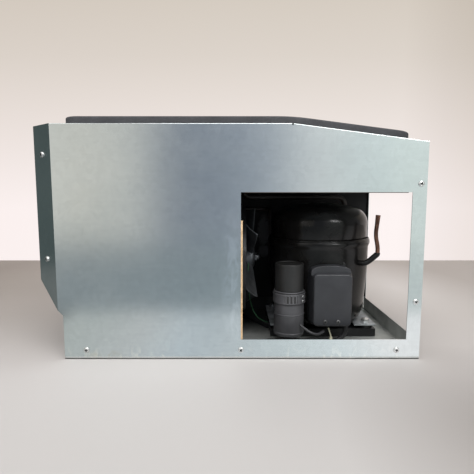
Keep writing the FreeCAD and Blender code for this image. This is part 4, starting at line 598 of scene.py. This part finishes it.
def solids_of(name):
    """Lowest and highest corner of each separate solid of a CAD node."""
    shape = bmesh.new()
    shape.from_mesh(nodes[name].data)
    bmesh.ops.remove_doubles(shape, verts=shape.verts, dist=WELD_REACH)
    left = set(shape.verts)
    boxes = []
    while left:
        island = [left.pop()]
        for vertex in island:
            for edge in vertex.link_edges:
                other = edge.other_vert(vertex)
                if other in left:
                    left.remove(other)
                    island.append(other)
        spots = [vertex.co for vertex in island]
        boxes.append((Vector([min(spot[axis] for spot in spots) for axis in (X, Y, Z)]),
                      Vector([max(spot[axis] for spot in spots) for axis in (X, Y, Z)])))
    shape.free()
    return sorted(boxes, key=lambda box: tuple(box[0]))


def standing(seat, axis, turn=0.0):
    """A place at the seat whose Z runs along the axis."""
    stand = Vector(axis).to_track_quat("Z", "Y").to_matrix().to_4x4()
    return Matrix.Translation(seat) @ stand @ Matrix.Rotation(turn, 4, "Z")


def turns(count):
    """Angles all the way round, in radians."""
    return [math.tau * side / count for side in range(count)]


def join_rings(shape, low, high):
    """Faces between two rings that have the same number of corners."""
    made = []
    for side in range(len(low)):
        after = (side + 1) % len(low)
        made.append(shape.faces.new((low[side], low[after], high[after], high[side])))
    return made


def cap_ends(shape, rings):
    """Closes the first and the last ring."""
    shape.faces.new(rings[0][::-1])
    shape.faces.new(rings[-1])


def lathe(shape, place, profile, sides=32):
    """Rings of a profile of (radius, height) about the place's Z, joined by faces."""
    rings = []
    for radius, height in profile:
        rings.append([
            shape.verts.new(place @ Vector((radius * math.cos(turn), radius * math.sin(turn), height)))
            for turn in turns(sides)])
    for low, high in zip(rings, rings[1:]):
        join_rings(shape, low, high)
    return rings


def ring_bead(shape, middle, radius, height, width, rise):
    """A raised half-round bead around an upright cylinder, sunk a little into it."""
    profile = [(radius - BEAD_SUNK, -width / 2)]
    profile += [(radius + rise * math.sin(math.pi * step / BEAD_STEPS), width * (step / BEAD_STEPS - 0.5))
                for step in range(BEAD_STEPS + 1)]
    profile.append((radius - BEAD_SUNK, width / 2))
    rings = lathe(shape, standing((middle[X], middle[Y], height), (0, 0, 1)), profile, BEAD_SIDES)
    join_rings(shape, rings[-1], rings[0])


def softened(steps, passes=3):
    """Corner cutting: each pass swaps a bend for two gentler ones, and the ends stay."""
    for _ in range(passes):
        cut = [steps[0]]
        for first, second in zip(steps, steps[1:]):
            cut += [first.lerp(second, 0.25), first.lerp(second, 0.75)]
        steps = cut + [steps[-1]]
    return steps


def step_at(x, y, z, half, deep=None):
    """One step of a pipe: its middle, its half width, and its half depth where that differs."""
    return Vector((x, y, z, half, half if deep is None else deep))


def pipe(shape, steps, sides=24):
    """A round or flattened bar through steps of x, y, z, half width and half depth."""
    places = [Vector(step[:3]) for step in steps]
    across = Vector((0, 1, 0))
    rings = []
    for index, step in enumerate(steps):
        ahead = places[min(index + 1, len(places) - 1)] - places[max(index - 1, 0)]
        ahead.normalize()
        across = (across - ahead * across.dot(ahead)).normalized()
        beside = ahead.cross(across)
        rings.append([
            shape.verts.new(places[index] + beside * (step[3] * math.cos(turn))
                            + across * (step[4] * math.sin(turn)))
            for turn in turns(sides)])
    for low, high in zip(rings, rings[1:]):
        join_rings(shape, low, high)
    cap_ends(shape, rings)


# Screws, in metres: heads, and how far the shanks reach below them
HEAD_HEIGHT = 0.0022
HEAD_RADIUS = 0.004
HEAD_EDGE = 0.00008
PANEL_SCREW_REACH = 0.0035
FAN_SCREW_REACH = 0.008
COVER_HEAD_HEIGHT = 0.0015
COVER_SCREW_REACH = 0.001
# Shape of a head, as shares of its radius and height. The recess is (arm, half width, level)
HEAD_PROFILE = [(1, 0), (1, 0.22), (0.95, 0.52), (0.84, 0.78), (0.7, 0.93), (0.56, 1)]
SHANK_SHARE = 0.45
RECESS_MOUTH = 0.5, 0.15, 1
RECESS_FLOOR = 0.24, 0.1, 0.35
# The side panels' outer faces and the bevelled flanges at their front ends, in metres
PANEL_Y = 0.125
BEVEL_OUT = 0.034
BEVEL_BACK = 0.027


def cross_ring(shape, place, radius, height, shares):
    """Corners of a cross-shaped ring, arm by arm."""
    arm, half, level = radius * shares[0], radius * shares[1], height * shares[2]
    ring = []
    for quarter in range(4):
        turn = Matrix.Rotation(quarter * math.pi / 2, 4, "Z")
        for x, y in ((arm, -half), (arm, half), (half, half)):
            ring.append(shape.verts.new(place @ turn @ Vector((x, y, level))))
    return ring


def loop_edges(ring):
    """The edges between neighbours in a ring of corners."""
    edges = []
    for vertex, after in zip(ring, ring[1:] + ring[:1]):
        edges += [edge for edge in vertex.link_edges if edge.other_vert(vertex) is after]
    return edges


def pan_head(shape, seat, axis, radius, height, turn, reach):
    """Pan head screw with a tapered cross recess and a pointed shank."""
    place = standing(seat, axis, turn)
    shank = radius * SHANK_SHARE
    rings = lathe(shape, place, [(shank * 0.15, -reach), (shank, -reach + shank), (shank, 0)] + [
        (radius * out, height * up) for out, up in HEAD_PROFILE])
    shape.faces.new(rings[0][::-1])
    mouth = cross_ring(shape, place, radius, height, RECESS_MOUTH)
    floor = cross_ring(shape, place, radius, height, RECESS_FLOOR)
    for face in join_rings(shape, mouth, floor) + [shape.faces.new(floor)]:
        face.material_index = 1
    bmesh.ops.triangle_fill(shape, use_beauty=True, edges=loop_edges(rings[-1]) + loop_edges(mouth))


def screw_set(name, node, seat_of, height, reach, slot, finish=None):
    """One pan head screw in the place of each solid of a CAD node of screws."""
    shape = bmesh.new()
    for index, (low, high) in enumerate(solids_of(node)):
        axis, seat, radius = seat_of(low, high, (low + high) / 2)
        pan_head(shape, seat, axis, radius, height, index * 0.7 + 0.3, reach)
    made = add_piece(name, shape, slot, [node], finish)
    made.data.materials.append(SLOT_SHADE)
    add_bevel(made, HEAD_EDGE)


def panel_screw(side):
    """Axis, seat and radius of a side panel's screw, on the flat or on the bevelled flange."""
    front_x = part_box("side_panel_window")[0][X]

    def seat_of(low, high, middle):
        if middle.x < front_x + BEVEL_OUT:
            seat = Vector((front_x + BEVEL_OUT / 2, side * (PANEL_Y - BEVEL_BACK / 2), middle.z))
            return Vector((-BEVEL_BACK, side * BEVEL_OUT, 0)), seat, HEAD_RADIUS
        return Vector((0, side, 0)), Vector((middle.x, side * PANEL_Y, middle.z)), HEAD_RADIUS
    return seat_of


def upright_screw(low, high, middle):
    """Axis, seat and radius of a screw that stands in the fan deck."""
    return Vector((0, 0, 1)), Vector((middle.x, middle.y, high.z - HEAD_HEIGHT)), (high.x - low.x) / 2


def cover_screw(low, high, middle):
    """Axis, seat and radius of a screw in the terminal cover's face."""
    return Vector((0, -1, 0)), Vector((middle.x, high.y, middle.z)), (high.x - low.x) / 2


def screws():
    """All sheet screws, with their heads seated where the CAD nodes have them."""
    screw_set("window_panel_screw_heads", "window_panel_screws", panel_screw(-1),
              HEAD_HEIGHT, PANEL_SCREW_REACH, "zinc_screws")
    screw_set("plain_panel_screw_heads", "plain_panel_screws", panel_screw(1),
              HEAD_HEIGHT, PANEL_SCREW_REACH, "zinc_screws")
    screw_set("fan_screw_heads", "evaporator_fan_screws", upright_screw,
              HEAD_HEIGHT, FAN_SCREW_REACH, "zinc_screws")
    screw_set("cover_screw_heads", "terminal_cover_screws", cover_screw,
              COVER_HEAD_HEIGHT, COVER_SCREW_REACH, "motor_paint", CLIP_STEEL)


# Coils, in metres: half a fin's thickness, its waves as a share of the pitch, and the tubes' radius
FIN_HALF = 0.00006
FIN_WAVE = 0.16
COIL_TUBE = 0.0047
COIL_TUBE_SIDES = 20


def coil(name, fin_pitch, waves, columns, rows, column_pitch, row_pitch):
    """Thin corrugated fins across a coil's pack, with the straight copper tubes through them."""
    node = name + "_fin_pack"
    low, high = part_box(node)
    length = high[X] - low[X]
    width = high[Y] - low[Y]
    count = int(width / fin_pitch)
    first_y = low[Y] + (width - count * fin_pitch) / 2
    steps = waves * 4
    fins = bmesh.new()
    for fin in range(count + 1):
        rings = []
        for step in range(steps + 1):
            wave = math.sin(step / steps * waves * math.tau) * fin_pitch * FIN_WAVE
            x = low[X] + length * step / steps
            y = first_y + fin * fin_pitch + wave
            rings.append([fins.verts.new(corner) for corner in (
                (x, y - FIN_HALF, low[Z]), (x, y - FIN_HALF, high[Z]),
                (x, y + FIN_HALF, high[Z]), (x, y + FIN_HALF, low[Z]))])
        for before, after in zip(rings, rings[1:]):
            join_rings(fins, before, after)
        cap_ends(fins, rings)
    add_piece(name + "_fins", fins, "fins", [node], smooth=False)
    tubes = bmesh.new()
    for column in range(columns):
        for row in range(rows):
            x = (low[X] + high[X]) / 2 + (column - (columns - 1) / 2) * column_pitch
            z = (low[Z] + high[Z]) / 2 + (row - (rows - 1) / 2) * row_pitch
            place = standing(Vector((x, low[Y], z)), (0, 1, 0))
            rings = lathe(tubes, place, [(COIL_TUBE, 0), (COIL_TUBE, width)], COIL_TUBE_SIDES)
            cap_ends(tubes, rings)
    add_piece(name + "_tubes", tubes, "copper")


def coils():
    """The condenser and the evaporator."""
    coil("condenser", fin_pitch=0.0022, waves=4, columns=2, rows=8, column_pitch=0.022, row_pitch=0.025)
    coil("evaporator", fin_pitch=0.0036, waves=8, columns=4, rows=2, column_pitch=0.026, row_pitch=0.024)


# Capacitor, in metres. The strap's edge is given as (out from the band, in from its rim)
BOOT_BEAD_Z = 0.0508
STRAP_SHEET = 0.0012
STRAP_EDGE = [(0, 0.0004), (0.0005, 0.0004), (0.0008, 0.0016), (0.0006, 0.0026)]
STRAP_SIDES = 144
# The strap's slots: the ends of their row in radians, and the panes in a slot and in a pitch
STRAP_SLOT_ENDS = -1.95, -1.15
STRAP_SLOT_PANES = 3
STRAP_SLOT_PITCH = 5
# The strap's screws: angle in degrees, distance out in metres, heights as shares of the band
STRAP_SCREW_ANGLE = -42
STRAP_SCREW_OUT = 0.001
STRAP_SCREW_LIFTS = 0.3, 0.72


def boot_beads(middle, radius):
    """Beads near the top, the middle and the foot of the capacitor's boot."""
    low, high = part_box("capacitor_boot")
    beads = bmesh.new()
    for height, width, rise in (
        (high[Z] - 0.0011, 0.0022, 0.0008), (BOOT_BEAD_Z, 0.0018, 0.0006), (low[Z] + 0.0035, 0.003, 0.0005),
    ):
        ring_bead(beads, middle, radius, height, width, rise)
    add_piece("boot_beads", beads, "capacitor_case", finish=BOOT_PLASTIC)


def capacitor_strap(middle, base, foot, band):
    """The strap's ribbed band, with a row of short slots on the side that the camera sees."""
    strap = bmesh.new()
    profile = [(base + out, inward) for out, inward in STRAP_EDGE]
    profile += [(base + out, band - inward) for out, inward in reversed(STRAP_EDGE)]
    rings = lathe(strap, standing((*middle, foot), (0, 0, 1)), profile, STRAP_SIDES)
    join_rings(strap, rings[-1], rings[0])
    strap.faces.ensure_lookup_table()
    first = (len(STRAP_EDGE) - 1) * STRAP_SIDES
    slots = []
    for index, pane in enumerate(strap.faces[first:first + STRAP_SIDES]):
        centre = pane.calc_center_median()
        turn = math.atan2(centre.y - middle[Y], centre.x - middle[X])
        in_slot = index % STRAP_SLOT_PITCH < STRAP_SLOT_PANES
        if in_slot and STRAP_SLOT_ENDS[0] < turn < STRAP_SLOT_ENDS[1]:
            slots.append(pane)
    bmesh.ops.inset_region(strap, faces=slots, thickness=0.00012, depth=-0.0006)
    for pane in slots:
        pane.material_index = 1
    made = add_piece("capacitor_strap", strap, "capacitor_case", finish=BOOT_PLASTIC)
    made.data.materials.append(SLOT_SHADE)


def strap_screws(middle, base, foot, band):
    """Two small screws, one above the other, in the strap's housing."""
    shape = bmesh.new()
    turn = math.radians(STRAP_SCREW_ANGLE)
    seat_x = middle[X] + (base + STRAP_SCREW_OUT) * math.cos(turn)
    seat_y = middle[Y] + (base + STRAP_SCREW_OUT) * math.sin(turn)
    axis = math.cos(turn) * 0.5, math.sin(turn), 0
    for lift in STRAP_SCREW_LIFTS:
        seat = Vector((seat_x, seat_y, foot + band * lift))
        pan_head(shape, seat, axis, radius=0.0024, height=0.0016, turn=0.4, reach=0.002)
    made = add_piece("strap_screws", shape, "zinc_screws", finish=DULL_STEEL)
    made.data.materials.append(SLOT_SHADE)


def capacitor_details():
    """Beads on the capacitor's boot, and its strap with two screws."""
    low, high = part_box("capacitor_boot")
    middle = plan_middle("capacitor_boot")
    radius = (high[X] - low[X]) / 2
    clamp_low, clamp_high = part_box("capacitor_clamp")
    band = clamp_high[Z] - clamp_low[Z]
    boot_beads(middle, radius)
    capacitor_strap(middle, radius + STRAP_SHEET, clamp_low[Z], band)
    strap_screws(middle, radius + STRAP_SHEET, clamp_low[Z], band)


# Lower shell of the compressor as (radius, height), in metres
SHELL_PROFILE = [
    (0.056, 0.0215), (0.0655, 0.023), (0.0715, 0.029), (0.0748, 0.037), (0.0768, 0.049),
    (0.0783, 0.067), (0.0802, 0.09), (0.0813, 0.111), (0.0818, 0.135), (0.082, 0.1435),
    (0.0828, 0.1465), (0.084, 0.149), (0.0842, 0.1525), (0.0836, 0.155), (0.0822, 0.156),
]
SHELL_RIM = SHELL_PROFILE[-1][0]
SHELL_SIDES = 96
WELD_SUNK = 0.0005
# The weld's waves as (count around the shell, share of the radius)
WELD_WAVES = (11, 0.0035), (37, 0.003)


def shell_details():
    """The tapered lower shell with its flared lip, and the wavy weld under the upper shell."""
    x, y = plan_middle("compressor_lower_shell")
    cup = bmesh.new()
    cap_ends(cup, lathe(cup, Matrix.Translation((x, y, 0)), SHELL_PROFILE, SHELL_SIDES))
    add_piece("tapered_lower_shell", cup, "compressor_enamel", ["compressor_lower_shell"])
    weld = bmesh.new()
    weld_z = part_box("compressor_lower_shell")[1][Z]
    ring_bead(weld, (x, y), SHELL_RIM - WELD_SUNK, weld_z, width=0.004, rise=0.0012)
    for vertex in weld.verts:
        out_x = vertex.co.x - x
        out_y = vertex.co.y - y
        turn = math.atan2(out_y, out_x)
        swell = 1 + sum(share * math.sin(count * turn) for count, share in WELD_WAVES)
        vertex.co.x = x + out_x * swell
        vertex.co.y = y + out_y * swell
    add_piece("shell_weld", weld, "compressor_enamel")


# Terminal cover. Below 1, the power squares the arch's shoulders
ARCH_POWER = 0.55
ARCH_STEPS = 20
ARCH_EDGE = 0.001


def arch(name, slot, x_ends, y_ends, base_z, rise, depth):
    """A low arch between two ends, with a foot that reaches down below its base."""
    half = (x_ends[1] - x_ends[0]) / 2
    middle = (x_ends[0] + x_ends[1]) / 2
    shape = bmesh.new()
    outlines = []
    for y in y_ends:
        corners = [(middle + half * math.cos(math.pi * (1 - step / ARCH_STEPS)), y,
                    base_z + rise * math.sin(math.pi * step / ARCH_STEPS) ** ARCH_POWER)
                   for step in range(ARCH_STEPS + 1)]
        corners += [(x_ends[1], y, base_z - depth), (x_ends[0], y, base_z - depth)]
        outlines.append([shape.verts.new(corner) for corner in corners])
    front, back = outlines
    shape.faces.new(front)
    shape.faces.new(back[::-1])
    join_rings(shape, back, front)
    add_bevel(add_piece(name, shape, slot), ARCH_EDGE)


def cover_hood():
    """The arched shoulder above the terminal cover's face, and the seal behind it."""
    low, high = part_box("terminal_cover")
    arch("cover_shoulder", "cover_plastic", x_ends=(low[X] + 0.0025, high[X] - 0.006),
         y_ends=(low[Y] + 0.007, high[Y] - 0.004), base_z=high[Z] - 0.006, rise=0.0122, depth=0.003)
    arch("cover_seal", "grommet_rubber", x_ends=(low[X] + 0.009, high[X] - 0.01),
         y_ends=(high[Y] - 0.006, high[Y]), base_z=high[Z] + 0.002, rise=0.0105, depth=0.006)


# Filling tube: the stub's angle in degrees, its distances from the shell's middle and radii in metres
STUB_ANGLE = -50
STUB_START = 0.075
STUB_BEND = 0.0896
STUB_RADIUS = 0.0042
TUBE_RADIUS = 0.0032


def filling_stub(rise_x, rise_y, base_z, joint_z):
    """The swept stub that leaves the shell's side and turns up."""
    shell_x, shell_y = plan_middle("compressor_lower_shell")
    turn = math.radians(STUB_ANGLE)
    start_x = shell_x + STUB_START * math.cos(turn)
    start_y = shell_y + STUB_START * math.sin(turn)
    shape = bmesh.new()
    pipe(shape, softened([
        step_at(start_x, start_y, base_z, STUB_RADIUS),
        step_at(shell_x + STUB_BEND * math.cos(turn), rise_y, base_z, STUB_RADIUS),
        step_at(rise_x - 0.0145, rise_y, base_z + 0.002, STUB_RADIUS),
        step_at(rise_x - 0.002, rise_y, base_z + 0.013, STUB_RADIUS * 1.05),
        step_at(rise_x, rise_y, joint_z - 0.001, STUB_RADIUS),
        step_at(rise_x, rise_y, joint_z + 0.001, TUBE_RADIUS * 1.05),
    ]))
    add_piece("filling_stub", shape, "compressor_enamel", ["process_stub"])


def filling_copper(rise_x, rise_y, joint_z):
    """The kinked copper tube whose top is pinched flat."""
    low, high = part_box("process_tube")
    left = low[X] + TUBE_RADIUS
    top = high[Z]
    shape = bmesh.new()
    pipe(shape, softened([
        step_at(rise_x, rise_y, joint_z, TUBE_RADIUS),
        step_at(rise_x, rise_y, joint_z + 0.01, TUBE_RADIUS),
        step_at(left, rise_y, joint_z + 0.028, TUBE_RADIUS * 0.95, TUBE_RADIUS),
        step_at(left + 0.002, rise_y, top - 0.012, TUBE_RADIUS),
        step_at(left + 0.0025, rise_y, top - 0.005, TUBE_RADIUS * 1.15, TUBE_RADIUS * 0.5),
        step_at(left + 0.003, rise_y, top - 0.0002, TUBE_RADIUS * 1.2, TUBE_RADIUS * 0.3),
    ], passes=2))
    add_piece("filling_copper", shape, "copper", ["process_tube"])


def filling_tube():
    """The stub on the compressor and the copper tube that stands in it."""
    stub_low, stub_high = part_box("process_stub")
    rise_x = stub_high[X] - STUB_RADIUS
    rise_y = plan_middle("process_tube")[Y]
    filling_stub(rise_x, rise_y, stub_low[Z] + STUB_RADIUS, stub_high[Z])
    filling_copper(rise_x, rise_y, stub_high[Z])


def lead(name, points, radius, finish=None):
    """A held lead that follows a smooth line through the compartment."""
    data = bpy.data.curves.new(name, "CURVE")
    data.dimensions = "3D"
    data.bevel_depth = radius
    data.bevel_resolution = 5
    data.resolution_u = 10
    data.use_fill_caps = True
    line = data.splines.new("NURBS")
    line.points.add(len(points) - 1)
    for point, place in zip(line.points, points):
        point.co = (*place, 1)
    line.use_endpoint_u = True
    line.order_u = 3
    data.materials.append(finish or MATERIALS["cable_jacket"])
    made = bpy.data.objects.new(name, data)
    scene.collection.objects.link(made)
    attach(made, "unit")


# Leads, in metres: the places that each one follows, and its radius
CAPACITOR_LEAD = [
    (0.1075, -0.0885, 0.036), (0.1125, -0.0935, 0.033), (0.119, -0.097, 0.0285),
    (0.1275, -0.0965, 0.025), (0.136, -0.09, 0.0235), (0.143, -0.08, 0.024),
]
CAPACITOR_LEAD_RADIUS = 0.0019
TRAY_LEAD = [
    (0.016, 0.092, 0.0046), (0.024, 0.074, 0.0044), (0.033, 0.056, 0.0044), (0.046, 0.034, 0.0044),
    (0.056, 0.016, 0.0046), (0.066, 0.0, 0.0046),
]
TRAY_LEAD_RADIUS = 0.0033
EARTH_WIRE = [
    (0.032, -0.028, 0.119), (0.0312, -0.032, 0.104), (0.0315, -0.033, 0.088),
    (0.0325, -0.032, 0.068), (0.0385, -0.029, 0.042), (0.05, -0.026, 0.0245), (0.064, -0.022, 0.019),
]
EARTH_WIRE_RADIUS = 0.0008


def leads():
    """The short capacitor lead, the cord across the tray, and the fan motor's earth wire."""
    lead("capacitor_lead", CAPACITOR_LEAD, CAPACITOR_LEAD_RADIUS, GREY_JACKET)
    lead("tray_lead", TRAY_LEAD, TRAY_LEAD_RADIUS)
    lead("fan_earth_wire", EARTH_WIRE, EARTH_WIRE_RADIUS, GREEN_JACKET)


make_camera()
studio()
dress_frame()
screws()
coils()
capacitor_details()
shell_details()
cover_hood()
filling_tube()
leads()
